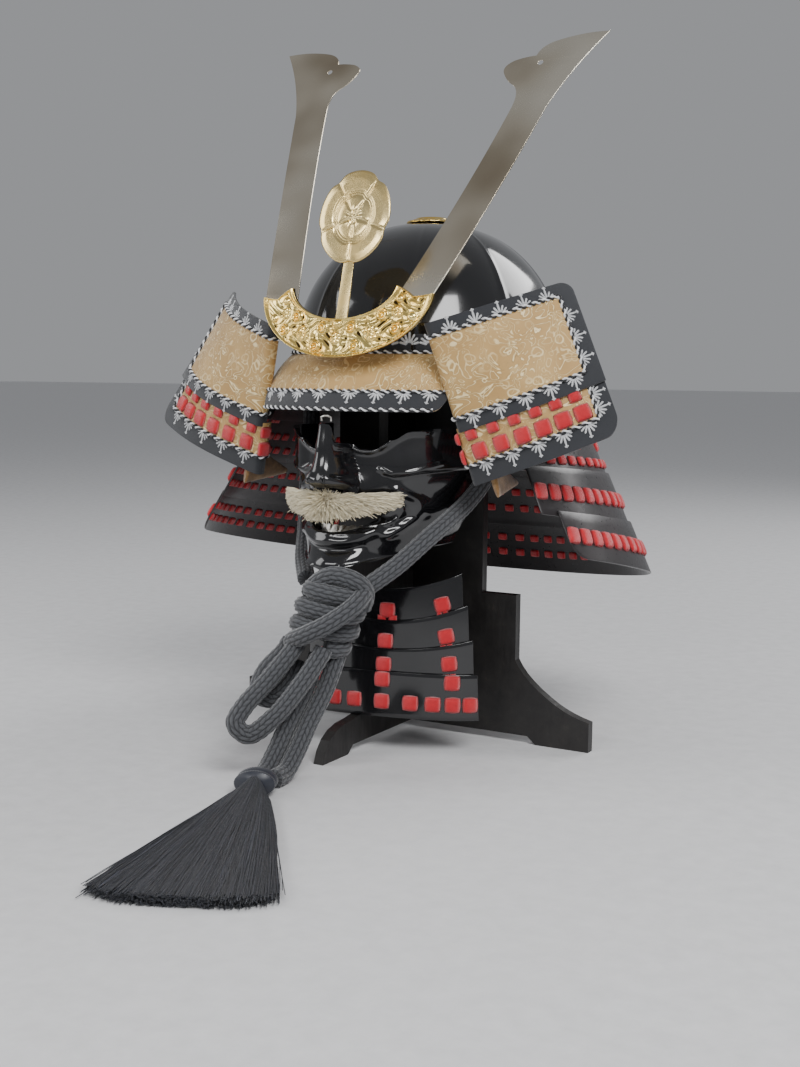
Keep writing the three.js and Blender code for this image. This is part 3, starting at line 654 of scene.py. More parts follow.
def black_cloth_finish():
    """Charcoal cloth with a fine twill, with painted shade in the twill's grooves."""
    look = Finish("black_cloth", (0.016, 0.018, 0.022), 0.82, Sheen_Weight=0.35, Sheen_Roughness=0.5)
    flat = look.surface()
    twill = look.waves(look.surface((1, 1, 1), (0, 0, math.radians(40))), 700.0)
    fluff = look.noise(flat, 900.0, 4.0, 0.7).outputs[0]
    # Painted shade: the twill's grooves are darker and its ridges lighter.
    look.color(look.blend(twill, (0.010, 0.011, 0.014), (0.028, 0.031, 0.038)))
    look.bump(twill, 0.0002, 0.5)
    look.bump(fluff, 0.00025, 0.5)
    return look.material


def brocade_finish():
    """Gold brocade: pale raised scrolls and flower heads on a woven ground, with painted shade as thin dark lines
    beside the scrolls.
    """
    look = Finish("gold_brocade", (0.50, 0.31, 0.12), 0.5, Sheen_Weight=0.3, Sheen_Roughness=0.4)
    flat = look.surface()
    drift = look.noise(flat, 26.0, 1.0).outputs[1]
    bent = look.moved_by(flat, drift, 0.03)
    scroll_field = look.noise(bent, 85.0, 1.6, 0.45, 0.9).outputs[0]
    bands = look.math("PINGPONG", look.math("MULTIPLY", scroll_field, 6.5), 0.5)
    scroll = look.grey(bands, [(0.0, 1.0), (0.07, 1.0), (0.12, 0.0)])
    # Painted shade: a thin dark band just outside each raised scroll.
    painted_scroll_shade = look.grey(bands, [(0.12, 0.0), (0.15, 1.0), (0.20, 0.0)])
    flower_place = look.moved_by(flat, look.noise(flat, 70.0, 2.0).outputs[1], 0.008)
    flower = look.cells(flower_place, 80.0).outputs["Distance"]
    rings = look.math("PINGPONG", look.math("MULTIPLY", flower, 3.4), 0.5)
    petal = look.math("MULTIPLY", look.grey(rings, [(0.0, 1.0), (0.12, 0.9), (0.2, 0.0)]),
                      look.grey(flower, [(0.34, 1.0), (0.42, 0.0)]))
    where = look.noise(flat, 19.0, 1.0).outputs[0]
    thread = look.math("MAXIMUM", look.math("MULTIPLY", scroll,
                                            look.grey(where, [(0.38, 0.35), (0.52, 1.0)])),
                       look.math("MULTIPLY", petal, look.grey(where, [(0.35, 1.0), (0.5, 0.2)])))
    ground = look.ramp(look.noise(flat, 30.0, 3.0).outputs[0],
                       [(0.3, (0.44, 0.26, 0.085)), (0.7, (0.58, 0.37, 0.14))])
    weave = look.math("MULTIPLY", look.waves(flat, 420.0, "X"), look.waves(flat, 560.0, "Y"))
    color = look.blend(look.math("MULTIPLY", weave, 0.35), ground, (0.30, 0.17, 0.06))
    # The painted shade beside the scrolls, laid on in some places.
    color = look.blend(look.math("MULTIPLY", painted_scroll_shade, look.grey(where, [(0.4, 0.0), (0.7, 0.7)])), color,
                       (0.13, 0.075, 0.03))
    color = look.blend(thread, color, (0.88, 0.70, 0.37))
    look.color(color)
    look.roughness(look.grey(thread, [(0.0, 0.62), (1.0, 0.34)]))
    look.bump(weave, 0.0002, 0.4)
    look.bump(thread, 0.0005, 0.7)
    return look.material


def thread_finish(name, color, dark, roughness=0.6, ribs=1200.0, sheen=0.4):
    """Thread laid side by side, seen as fine ribs along the piece, with painted shade in the grooves between them."""
    look = Finish(name, color, roughness, Sheen_Weight=sheen, Sheen_Roughness=0.4)
    flat = look.surface()
    lines = look.waves(flat, ribs, "X", 1.5, 2.0)
    shade = look.noise(look.objects(), 300.0, 3.0).outputs[0]
    # Painted shade: the grooves between the ribs are darkened towards the dark colour; the noise mix of the two colours
    # is random tone.
    look.color(look.blend(look.math("MULTIPLY", look.math("SUBTRACT", 1.0, lines), 0.4),
                          look.blend(shade, color, dark), dark))
    look.bump(lines, 0.00035, 0.7)
    return look.material


def gold_finish(name, bright, dull, roughness, bump=0.25, scale=140.0):
    """Plated and polished, with soft casting marks as duller patches at random."""
    look = Finish(name, bright, roughness, 1.0)
    place = look.objects()
    cloud = look.noise(place, 35.0, 3.0, 0.6).outputs[0]
    fine = look.noise(place, scale * 6, 3.0, 0.6).outputs[0]
    look.color(look.blend(look.grey(cloud, [(0.3, 0.0), (0.75, 1.0)]), bright, dull))
    look.roughness(look.math("ADD", look.grey(cloud, [(0.3, roughness), (0.8, roughness + 0.14)]),
                             look.grey(fine, [(0.5, 0.0), (0.8, 0.08)])))
    look.bump(look.noise(place, scale, 2.0).outputs[0], 0.0004, bump)
    return look.material


def crescent_finish():
    """Bright gold, with the sunk ground painted near black: painted shade standing for the openings of the pierced
    ground.
    """
    look = Finish("chased_gold", (1.0, 0.76, 0.27), 0.16, 1.0)
    place = look.objects()
    cloud = look.noise(place, 60.0, 3.0, 0.6).outputs[0]
    # Painted shade: the open attribute paints the sunk ground and a ring round each boss near black.
    opened = look.attribute("open")
    gold = look.blend(look.grey(cloud, [(0.3, 0.0), (0.75, 1.0)]), (1.0, 0.80, 0.30), (0.92, 0.58, 0.13))
    look.color(look.blend(opened, gold, (0.03, 0.018, 0.006)))
    look.roughness(look.math("ADD", look.grey(cloud, [(0.3, 0.14), (0.8, 0.3)]),
                             look.math("MULTIPLY", opened, 0.4)))
    look.bump(look.noise(place, 500.0, 2.0).outputs[0], 0.0003, 0.35)
    return look.material


def nickel_finish():
    """Thin satin nickel plate, drawn lengthwise, with smudges and fine scratches."""
    look = Finish("satin_nickel", (0.70, 0.64, 0.54), 0.2, 1.0)
    lengthwise = look.objects((260, 260, 8))
    drawn = look.noise(lengthwise, 3.0, 4.0, 0.6).outputs[0]
    smudge = look.noise(look.objects(), 9.0, 2.0, 0.5).outputs[0]
    look.color(look.ramp(smudge, [(0.34, (0.42, 0.35, 0.25)), (0.5, (0.66, 0.59, 0.47)),
                                  (0.66, (0.82, 0.77, 0.66))]))
    look.roughness(look.math("ADD", look.grey(smudge, [(0.3, 0.16), (0.75, 0.3)]),
                             look.math("MULTIPLY", drawn, 0.06)))
    look.bump(drawn, 0.00005, 0.12)
    look.bump(look.noise(look.objects(), 9.0, 1.0).outputs[0], 0.004, 0.3)
    return look.material


def silver_finish():
    """Worn silver on the teeth and the small hook."""
    look = Finish("tooth_silver", (0.6, 0.58, 0.54), 0.3, 1.0)
    worn = look.noise(look.objects(), 400.0, 3.0).outputs[0]
    look.color(look.ramp(worn, [(0.3, (0.30, 0.28, 0.25)), (0.65, (0.68, 0.66, 0.62))]))
    look.roughness(look.grey(worn, [(0.3, 0.22), (0.7, 0.45)]))
    look.bump(worn, 0.0002, 0.3)
    return look.material


def braid_finish():
    """Charcoal cord: each plait is a bundle of fine fibres, with painted shade in the hollows where the plaits cross.
    """
    look = Finish("charcoal_braid", (0.045, 0.047, 0.052), 0.85, Sheen_Weight=0.5, Sheen_Roughness=0.45)
    place = look.objects()
    fibre = look.noise(place, 1400.0, 3.0, 0.7).outputs[0]
    # Painted shade: the pile attribute darkens the hollows between the plaits.
    pile = look.attribute("pile")
    base = look.blend(look.grey(pile, [(0.15, 0.0), (0.85, 1.0)]), (0.007, 0.007, 0.009),
                      (0.068, 0.071, 0.078))
    look.color(look.blend(look.grey(fibre, [(0.45, 0.0), (0.75, 0.55)]), base, (0.12, 0.125, 0.135)))
    look.bump(fibre, 0.0004, 0.6)
    return look.material


def hair_finish():
    """Blue-black silk threads."""
    look = Finish("tassel_thread", (0.02, 0.023, 0.036), 0.38, Sheen_Weight=0.2)
    strand = look.attribute("tint")
    look.color(look.ramp(strand, [(0.0, (0.006, 0.007, 0.011)), (0.7, (0.03, 0.034, 0.05)),
                                  (1.0, (0.10, 0.11, 0.15))]))
    look.roughness(look.grey(look.noise(look.objects(), 300.0).outputs[0], [(0.3, 0.3), (0.7, 0.5)]))
    return look.material


def fur_finish():
    """Cream bristle, some bristles a little yellower than others."""
    look = Finish("cream_bristle", (0.80, 0.72, 0.52), 0.6, Sheen_Weight=0.3)
    strand = look.attribute("tint")
    shade = look.noise(look.objects(), 160.0).outputs[0]
    look.color(look.blend(shade, look.ramp(strand, [(0.0, (0.62, 0.50, 0.29)), (1.0, (0.88, 0.82, 0.64))]),
                          (0.78, 0.70, 0.50)))
    return look.material


def suede_finish():
    """Brown suede with a rubbed nap."""
    look = Finish("brown_suede", (0.34, 0.19, 0.075), 0.95, Sheen_Weight=0.5, Sheen_Roughness=0.5)
    place = look.objects()
    nap = look.noise(place, 90.0, 5.0, 0.7).outputs[0]
    fine = look.noise(place, 1100.0, 3.0, 0.7).outputs[0]
    color = look.ramp(nap, [(0.3, (0.14, 0.065, 0.022)), (0.5, (0.33, 0.18, 0.065)),
                            (0.72, (0.52, 0.32, 0.14))])
    look.color(look.blend(look.math("MULTIPLY", fine, 0.3), color, (0.10, 0.05, 0.02)))
    look.bump(fine, 0.0005, 0.6)
    look.bump(nap, 0.0012, 0.4)
    return look.material


def board_finish():
    """Thin black paint on board: faint brush grain, brown showing in rubbed patches at random."""
    look = Finish("painted_board", (0.014, 0.013, 0.012), 0.5)
    place = look.objects()
    grain = look.noise(look.objects((1, 1, 0.12)), 240.0, 4.0, 0.65).outputs[0]
    rubbed = look.noise(place, 60.0, 5.0, 0.7).outputs[0]
    look.color(look.ramp(rubbed, [(0.35, (0.010, 0.009, 0.009)), (0.62, (0.020, 0.018, 0.017)),
                                  (0.8, (0.055, 0.042, 0.034))]))
    look.roughness(look.grey(grain, [(0.3, 0.36), (0.75, 0.6)]))
    look.bump(grain, 0.0003, 0.3)
    return look.material


def plain_finish(name, color, roughness, scale=400.0):
    """A quiet surface with a little life in its roughness and colour."""
    look = Finish(name, color, roughness)
    grain = look.noise(look.objects(), scale, 3.0, 0.6).outputs[0]
    dim = tuple(0.75 * c for c in color)
    look.color(look.blend(grain, color, dim))
    look.roughness(look.grey(grain, [(0.3, roughness * 0.85), (0.7, min(1.0, roughness * 1.15))]))
    look.bump(grain, 0.0002, 0.3)
    return look.material


LOOKS = {}


def chosen_pair(key):
    """A colour that the user can change, and its shade."""
    colors = bpy.context.scene.kabuto_colors
    return tuple(getattr(colors, key)), tuple(getattr(colors, key + "_shade"))


def mix_finishes():
    """Make every finish once."""
    LOOKS["lacquer"] = lacquer_finish()
    LOOKS["plate"] = plate_finish()
    LOOKS["cloth"] = black_cloth_finish()
    LOOKS["brocade"] = brocade_finish()
    LOOKS["white_thread"] = thread_finish("white_thread", *chosen_pair("white_thread"))
    LOOKS["black_thread"] = thread_finish("black_thread", *chosen_pair("black_thread"))
    LOOKS["red_silk"] = thread_finish("red_silk", *chosen_pair("red_silk"), 0.5, 1000.0)
    LOOKS["gold"] = gold_finish("bright_gold", *chosen_pair("bright_gold"), 0.14)
    LOOKS["crescent"] = crescent_finish()
    LOOKS["pale_gold"] = gold_finish("pale_gold", *chosen_pair("pale_gold"), 0.2, 0.06, 90.0)
    LOOKS["nickel"] = nickel_finish()
    LOOKS["silver"] = silver_finish()
    LOOKS["braid"] = braid_finish()
    LOOKS["hair"] = hair_finish()
    LOOKS["fur"] = fur_finish()
    LOOKS["suede"] = suede_finish()
    LOOKS["board"] = board_finish()


# ---------- repeats made by geometry nodes ----------
def new_tree(name, inputs):
    tree = bpy.data.node_groups.new(name, "GeometryNodeTree")
    tree.interface.new_socket(name="Geometry", in_out="INPUT", socket_type="NodeSocketGeometry")
    for label, kind, value in inputs:
        socket = tree.interface.new_socket(name=label, in_out="INPUT", socket_type=kind)
        if value is not None:
            socket.default_value = value
    tree.interface.new_socket(name="Geometry", in_out="OUTPUT", socket_type="NodeSocketGeometry")
    return tree, tree.nodes.new("NodeGroupInput"), tree.nodes.new("NodeGroupOutput")


def named(tree, attribute, kind):
    node = tree.nodes.new("GeometryNodeInputNamedAttribute")
    node.data_type = kind
    node.inputs["Name"].default_value = attribute
    return node.outputs["Attribute"]


def finish_off(tree, geometry, material, output):
    """The last two steps of every tree: real geometry, in its finish."""
    real = tree.nodes.new("GeometryNodeRealizeInstances")
    dress = tree.nodes.new("GeometryNodeSetMaterial")
    tree.links.new(geometry, real.inputs["Geometry"])
    tree.links.new(real.outputs["Geometry"], dress.inputs["Geometry"])
    tree.links.new(material, dress.inputs["Material"])
    tree.links.new(dress.outputs["Geometry"], output.inputs["Geometry"])


def set_out_tree():
    """Put a copy of one piece at each point, turned and sized by the point's attributes."""
    tree, source, output = new_tree("set_out", [
        ("Pattern", "NodeSocketObject", None), ("Scale", "NodeSocketFloat", 1.0),
        ("Finish", "NodeSocketMaterial", None)])
    pattern = tree.nodes.new("GeometryNodeObjectInfo")
    place = tree.nodes.new("GeometryNodeInstanceOnPoints")
    size = tree.nodes.new("ShaderNodeVectorMath")
    size.operation = "SCALE"
    tree.links.new(source.outputs["Pattern"], pattern.inputs["Object"])
    tree.links.new(source.outputs["Geometry"], place.inputs["Points"])
    tree.links.new(pattern.outputs["Geometry"], place.inputs["Instance"])
    tree.links.new(named(tree, "turn", "FLOAT_VECTOR"), place.inputs["Rotation"])
    tree.links.new(named(tree, "size", "FLOAT_VECTOR"), size.inputs[0])
    tree.links.new(source.outputs["Scale"], size.inputs["Scale"])
    tree.links.new(size.outputs[0], place.inputs["Scale"])
    finish_off(tree, place.outputs["Instances"], source.outputs["Finish"], output)
    return tree


def strand_tree():
    """Make a fine round strand along each line of edges, as thick as its points say."""
    tree, source, output = new_tree("strands", [
        ("Thickness", "NodeSocketFloat", 0.0004), ("Sides", "NodeSocketInt", 3),
        ("Finish", "NodeSocketMaterial", None)])
    line = tree.nodes.new("GeometryNodeMeshToCurve")
    width = tree.nodes.new("GeometryNodeSetCurveRadius")
    ring = tree.nodes.new("GeometryNodeCurvePrimitiveCircle")
    body = tree.nodes.new("GeometryNodeCurveToMesh")
    body.inputs["Fill Caps"].default_value = True
    tree.links.new(source.outputs["Geometry"], line.inputs["Mesh"])
    tree.links.new(line.outputs["Curve"], width.inputs["Curve"])
    tree.links.new(named(tree, "thick", "FLOAT"), width.inputs["Radius"])
    tree.links.new(width.outputs["Curve"], body.inputs["Curve"])
    tree.links.new(source.outputs["Sides"], ring.inputs["Resolution"])
    tree.links.new(source.outputs["Thickness"], ring.inputs["Radius"])
    tree.links.new(ring.outputs["Curve"], body.inputs["Profile Curve"])
    smooth_node = tree.nodes.new("GeometryNodeSetShadeSmooth")
    tree.links.new(body.outputs["Mesh"], smooth_node.inputs["Geometry"])
    finish_off(tree, smooth_node.outputs["Geometry"], source.outputs["Finish"], output)
    return tree


def twist_tree():
    """Lay two strands round each other along a line, one light and one dark."""
    tree, source, output = new_tree("twisted_edge", [
        ("Radius", "NodeSocketFloat", 0.0008), ("Turn per Metre", "NodeSocketFloat", 800.0),
        ("Light", "NodeSocketMaterial", None), ("Dark", "NodeSocketMaterial", None)])
    line = tree.nodes.new("GeometryNodeMeshToCurve")
    even = tree.nodes.new("GeometryNodeResampleCurve")
    even.mode = "LENGTH"
    even.inputs["Length"].default_value = 0.0007
    tilt = tree.nodes.new("GeometryNodeSetCurveTilt")
    run = tree.nodes.new("GeometryNodeSplineParameter")
    angle = tree.nodes.new("ShaderNodeMath")
    angle.operation = "MULTIPLY"
    tree.links.new(source.outputs["Geometry"], line.inputs["Mesh"])
    tree.links.new(line.outputs["Curve"], even.inputs["Curve"])
    tree.links.new(even.outputs["Curve"], tilt.inputs["Curve"])
    tree.links.new(run.outputs["Length"], angle.inputs[0])
    tree.links.new(source.outputs["Turn per Metre"], angle.inputs[1])
    tree.links.new(angle.outputs[0], tilt.inputs["Tilt"])
    both = tree.nodes.new("GeometryNodeJoinGeometry")
    for label, sign in (("Light", 1.0), ("Dark", -1.0)):
        ring = tree.nodes.new("GeometryNodeCurvePrimitiveCircle")
        ring.inputs["Resolution"].default_value = 6
        aside = tree.nodes.new("GeometryNodeTransform")
        shift = tree.nodes.new("ShaderNodeCombineXYZ")
        reach = tree.nodes.new("ShaderNodeMath")
        reach.operation = "MULTIPLY"
        reach.inputs[1].default_value = sign
        body = tree.nodes.new("GeometryNodeCurveToMesh")
        body.inputs["Fill Caps"].default_value = True
        dress = tree.nodes.new("GeometryNodeSetMaterial")
        tree.links.new(source.outputs["Radius"], ring.inputs["Radius"])
        tree.links.new(source.outputs["Radius"], reach.inputs[0])
        tree.links.new(reach.outputs[0], shift.inputs["X"])
        tree.links.new(ring.outputs["Curve"], aside.inputs["Geometry"])
        tree.links.new(shift.outputs[0], aside.inputs["Translation"])
        tree.links.new(tilt.outputs["Curve"], body.inputs["Curve"])
        tree.links.new(aside.outputs["Geometry"], body.inputs["Profile Curve"])
        tree.links.new(body.outputs["Mesh"], dress.inputs["Geometry"])
        tree.links.new(source.outputs[label], dress.inputs["Material"])
        tree.links.new(dress.outputs["Geometry"], both.inputs["Geometry"])
    rounded = tree.nodes.new("GeometryNodeSetShadeSmooth")
    real = tree.nodes.new("GeometryNodeRealizeInstances")
    tree.links.new(both.outputs["Geometry"], rounded.inputs["Geometry"])
    tree.links.new(rounded.outputs["Geometry"], real.inputs["Geometry"])
    tree.links.new(real.outputs["Geometry"], output.inputs["Geometry"])
    return tree


TREES = {}


def plant_trees():
    TREES["set_out"] = set_out_tree()
    TREES["strands"] = strand_tree()
    TREES["twist"] = twist_tree()


def grown(piece, tree_name, **values):
    """Run one of the trees on a piece and keep its result as a plain mesh."""
    tree = TREES[tree_name]
    modifier = piece.modifiers.new(tree_name, "NODES")
    modifier.node_group = tree
    for item in tree.interface.items_tree:
        key = item.name.replace(" ", "_").lower()
        if item.in_out == "INPUT" and key in values:
            modifier[item.identifier] = values[key]
    return settle(piece)


class Places:
    """Points with a turn and a size each, for the set_out tree."""

    def __init__(self):
        self.points, self.turns, self.sizes = [], [], []

    def add(self, point, along_x, normal, size=(1, 1, 1), spin=0.0):
        """A place in metres, whose local X runs along and whose local Z stands off the surface."""
        z = Vector(normal).normalized()
        x = Vector(along_x)
        x = (x - z * x.dot(z)).normalized()
        basis = Matrix((x, z.cross(x), z)).transposed() @ Matrix.Rotation(spin, 3, "Z")
        self.points.append(tuple(point))
        self.turns.append(tuple(basis.to_euler()))
        self.sizes.append(tuple(size))

    def piece(self, name, pattern, look, scale=1.0):
        mesh = bpy.data.meshes.new(name)
        mesh.from_pydata(self.points, [], [])
        for key, rows in (("turn", self.turns), ("size", self.sizes)):
            data = mesh.attributes.new(key, "FLOAT_VECTOR", "POINT")
            data.data.foreach_set("vector", np.array(rows, np.float32).ravel())
        piece = piece_of(name, mesh, None)
        grown(piece, "set_out", pattern=pattern, scale=scale, finish=look)
        old = pattern.data
        bpy.data.objects.remove(pattern)
        bpy.data.meshes.remove(old)
        return piece


def on_surface(surface, u, v, side, lift=0.0):
    """A point lifted off a surface, with the way u runs there and the way the surface faces."""
    u, v = np.float64(u), np.float64(v)
    normal = normal_of(surface, u, v, side)
    step = 1e-3
    across = unit(surface(u + step, v) - surface(u - step, v))
    return placed(surface(u, v) + normal * lift), across, normal


def edge_lines(name, lines, look_light, look_dark, radius=0.0008, turn=800.0):
    """Twisted cord along lines given in metres."""
    points, edges = [], []
    for line in lines:
        start = len(points)
        points += [tuple(p) for p in line]
        edges += [(start + i, start + i + 1) for i in range(len(line) - 1)]
    mesh = bpy.data.meshes.new(name)
    mesh.from_pydata(points, edges, [])
    piece = piece_of(name, mesh, None)
    return grown(piece, "twist", radius=radius, turn_per_metre=turn, light=look_light, dark=look_dark)


def strands(name, lines, thickness, look, sides=3, tint=None, taper=None):
    """Many fine strands along lines of equal point count, in metres: an array of strand, point, place."""
    lines = np.asarray(lines, float)
    count, steps = lines.shape[:2]
    points = lines.reshape(-1, 3)
    first = (np.arange(count)[:, None] * steps + np.arange(steps - 1)[None, :]).ravel()
    mesh = bpy.data.meshes.new(name)
    mesh.from_pydata(points.tolist(), np.stack([first, first + 1], 1).tolist(), [])
    taper = np.linspace(1, 0.35, steps) if taper is None else np.asarray(taper, float)
    thick = np.broadcast_to(taper, (count, steps)).ravel()
    tint = np.zeros(count) if tint is None else tint
    for key, values in (("thick", thick), ("tint", np.repeat(tint, steps))):
        data = mesh.attributes.new(key, "FLOAT", "POINT")
        data.data.foreach_set("value", values.astype(np.float32))
    return grown(piece_of(name, mesh, None), "strands", thickness=thickness, sides=sides, finish=look)


def facing(surface, u, v, side, lift=0.0):
    """A lifted point of a surface, with the ways u and v run there and the way the surface faces."""
    u, v = np.float64(u), np.float64(v)
    point, across, normal = on_surface(surface, u, v, side, lift)
    step = 1e-3
    down = unit(surface(np.float64(u), v + step) - surface(np.float64(u), v - step))
    return point, across, down, normal


def pointing(places, spot, forward, normal, size=(1, 1, 1), spin=0.0):
    """Add a place whose local Y points forward."""
    places.add(spot, np.cross(forward, normal), normal, size, spin)


def corner_inset(u, v, reach_u, reach_v, top, low):
    """How far the ends of a patch are pulled in near its top or low edge, to round its corners."""
    inset = np.zeros(np.broadcast(u, v).shape)
    for wanted, beyond in ((low, v - (1 - reach_v)), (top, reach_v - v)):
        if wanted:
            t = np.clip(beyond / reach_v, 0, 1)
            inset = np.maximum(inset, reach_u * (1 - np.sqrt(1 - t ** 2)))
    return inset


def cornered(u, v, reach_u, reach_v):
    """Round both low corners of a patch."""
    inset = corner_inset(u, v, reach_u, reach_v, False, True)
    return inset + u * (1 - inset - inset), v


def fine_ends(count, fine, reach, top=False, low=True):
    """Row places that close up towards the rounded ends."""
    rows = [np.linspace(reach if top else 0, 1 - reach if low else 1, count)]
    turn = np.sin(np.linspace(0, np.pi / 2, fine + 1))[1:]
    if low:
        rows.append(1 - reach + reach * turn)
    if top:
        rows.insert(0, (reach - reach * turn)[::-1])
    return np.concatenate(rows)


# ---------- surfaces ----------
def bowl_surface(lift=0.0):
    def surface(u, v):
        angle = 2 * np.pi * u
        rise = np.sin(v * np.pi / 2)
        spread = np.maximum(np.cos(v * np.pi / 2), 0) ** (2 / BOWL["power"])
        place = np.mod(u * BOWL["plates"] + 0.5, 1)
        away = np.minimum(place, 1 - place)
        ridge = 1.5 * gauss(away, 0.028) * np.sqrt(np.clip(1 - v, 0, 1))
        point = loop_point(BOWL["a"] + lift, BOWL["b"] + lift, 0, 0, BOWL["power"], angle) * spread[..., None]
        point = point + unit(point) * ridge[..., None]
        point[..., 1] += MIDDLE
        point[..., 2] = BOWL["rim"] + (BOWL["height"] + lift) * signed_power(rise, 2 / BOWL["power"])
        return point
    return surface


def bowl_band(low, high, lift):
    """A patch of the bowl over the brow, from low to high above its rim."""
    def surface(u, v):
        angle = np.radians(mix(-52, 52, u))
        z = BOWL["rim"] + mix(high, low, v)
        rise = np.clip((z - BOWL["rim"]) / BOWL["height"], 0, 1) ** BOWL["power"]
        spread = (1 - rise) ** (1 / BOWL["power"])
        point = loop_point(BOWL["a"], BOWL["b"], 0, 0, BOWL["power"], angle) * spread[..., None]
        point = point + unit(point) * lift
        point[..., 1] += MIDDLE
        point[..., 2] = z
        return point
    return surface


def visor_surface(start=0.0, stop=1.0, lift=0.0):
    def surface(u, v):
        v = mix(start, stop, v)
        angle = np.radians(mix(-VISOR["end"], VISOR["end"], u))
        root = loop_point(BOWL["a"] + VISOR["lift"], BOWL["b"] + VISOR["lift"], MIDDLE, VISOR["root"],
                          BOWL["power"], angle)
        edge = loop_point(VISOR["a"], VISOR["b"], MIDDLE, VISOR["edge"], BOWL["power"], angle)
        point = mix(root, edge, v[..., None])
        bulge = VISOR["bulge"] * np.sin(np.pi * v)
        out = stack(0.5 * np.sin(angle), -0.5 * np.cos(angle), 1.0)
        return point + out * bulge[..., None] + unit(out * [1, 1, 0.7]) * lift
    return surface


def guard_point(angle, level, offset):
    point = loop_point(mix(GUARD["a"], GUARD_RIM["a"], level) + offset,
                       mix(GUARD["b"], GUARD_RIM["b"], level) + offset,
                       mix(GUARD["y"], GUARD_RIM["y"], level), mix(GUARD["z"], GUARD_RIM["z"], level),
                       GUARD["power"], angle)
    point[..., 2] -= GUARD_RIM["slope"] * level * point[..., 1]
    return point


def lame_surface(index, round_corner=True):
    """The outer face of a neck plate: u runs round from the front, v runs down."""
    start, stop, end = NECK_LAMES[index]
    offset = GUARD["step"] * index
    reach = 0.045 if index == 0 else 0.0
    top, low = np.array(WING["inner_top"]), np.array(WING["inner_low"])

    def under(u, v):
        level = mix(start, stop, v)
        share = (u - reach) / (1 - 2 * reach)
        inside = np.clip(share, 0, 1) if index == 0 else share
        point = guard_point(np.radians(end + (360 - 2 * end) * inside), level, offset)
        if index:
            return point
        beyond = np.clip(np.maximum(-share, share - 1) / reach * (1 - 2 * reach), 0, None)[..., None]
        fold = mix(top, low, ((top[2] - point[..., 2]) / (top[2] - low[2]))[..., None])
        fold[..., 1] += 7
        fold[..., 0] *= np.sign(point[..., 0])
        fold[..., 2] = point[..., 2]
        return mix(point, fold, beyond)

    def surface(u, v):
        u, v = np.broadcast_arrays(np.asarray(u, float), np.asarray(v, float))
        if round_corner and index == 3:
            u, v = cornered(u, v, 0.022, 0.36)
        return under(u, v) + normal_of(under, u, v, -1) * GUARD["wall"]
    return surface


ROLL = 0.075                                  # how much of the wing's width is rolled back at its inner edge
ROLL_RADIUS = 6.0


def wing_surface(part, lift=0.0):
    start, stop, setback = WING_PARTS[part]
    corners = {key: np.array(WING[key]) for key in ("inner_top", "outer_top", "outer_low", "inner_low")}

    def flat(u, v):
        top = mix(corners["inner_top"], corners["outer_top"], u[..., None])
        low = mix(corners["inner_low"], corners["outer_low"], u[..., None])
        swell = WING["bulge"] * np.sin(np.pi * u) * (0.75 + 0.25 * np.sin(np.pi * v))
        return mix(top, low, v[..., None]) + np.array([0.62, -0.78, 0.04]) * swell[..., None]

    def surface(u, v):
        u, v = np.broadcast_arrays(np.asarray(u, float), np.asarray(v, float))
        level = mix(start, stop, v)
        kept = np.maximum(u, 0)
        point = flat(kept, level) + WING_BACK * setback
        inward = unit(flat(np.zeros_like(u), level) - flat(np.full_like(u, 0.02), level))
        turn = np.clip(-u / ROLL, 0, 1) * np.radians(125)
        back = unit(WING_BACK - inward * np.sum(WING_BACK * inward, axis=-1, keepdims=True))
        point = point + inward * (ROLL_RADIUS * np.sin(turn))[...,
                                                            None] + back * (ROLL_RADIUS * (1 - np.cos(turn)))[..., None]
        return point
    if not lift:
        return surface
    return lambda u, v: surface(u, v) + normal_of(surface, u, v, -1) * lift


def throat_surface(index):
    top_a, top_b, low_a, low_b, top, low, top_rise, low_rise, end = THROAT_LAMES[index]
    turn = math.radians(THROAT["turn"])

    def surface(u, v):
        angle = np.radians(mix(-end, end, u))
        half = mix(top_a, low_a, v)
        point = loop_point(half, mix(top_b, low_b, v), 0, mix(top, low, v), THROAT["power"], angle)
        point[..., 2] += mix(top_rise, low_rise, v) * (point[..., 0] / half) ** 2
        x = point[..., 0] * math.cos(turn) - point[..., 1] * math.sin(turn) + THROAT["x"]
        y = point[..., 0] * math.sin(turn) + point[..., 1] * math.cos(turn) + THROAT["y"]
        return stack(x, y, point[..., 2])
    return surface


# ---------- patterns that are repeated ----------
def bar(start, stop, width, height):
    """A raised stitch with a ridge along it: its points and faces."""
    start, stop = np.array([*start, 0.0]), np.array([*stop, 0.0])
    way = unit(stop - start)
    aside = np.array([-way[1], way[0], 0.0]) * width / 2
    up = np.array([0.0, 0.0, height])
    inset = way * width * 0.45
    points = [start, start + inset + aside, stop - inset + aside, stop, stop - inset - aside,
              start + inset - aside,
              start + inset + up, stop - inset + up]
    faces = [(0, 6, 1), (1, 6, 7, 2), (2, 7, 3), (3, 7, 4), (4, 7, 6, 5), (5, 6, 0), (0, 1, 2, 3, 4, 5)]
    return points, faces


def stitched(name, bars):
    """A pattern of raised stitches, drawn in millimetres on the plane."""
    points, faces = [], []
    for start, stop, width, height in bars:
        shift = len(points)
        own, own_faces = bar(start, stop, width, height)
        points += own
        faces += [tuple(shift + i for i in face) for face in own_faces]
    points = np.array(points) * MM
    uv = points[:, [0, 1]]
    return outwards(piece_of(name, mesh_from(name, points, faces, uv), None))


def fan_pattern(with_cross):
    bars = []
    petals = 7
    for k in range(petals):
        angle = math.radians(mix(-80, 80, k / (petals - 1)))
        reach = 9.4 - 1.5 * abs(math.sin(angle))
        way = (math.sin(angle), math.cos(angle))
        bars.append(((way[0] * 1.6, way[1] * 1.2 + 0.4), (way[0] * reach, way[1] * reach + 1.0), 1.9, 0.6))
    if with_cross:
        bars.append(((0, 7.5), (0, 14.2), 1.6, 0.65))
        bars.append(((-2.0, 12.4), (2.0, 12.4), 1.6, 0.65))
    return stitched("fan", bars)


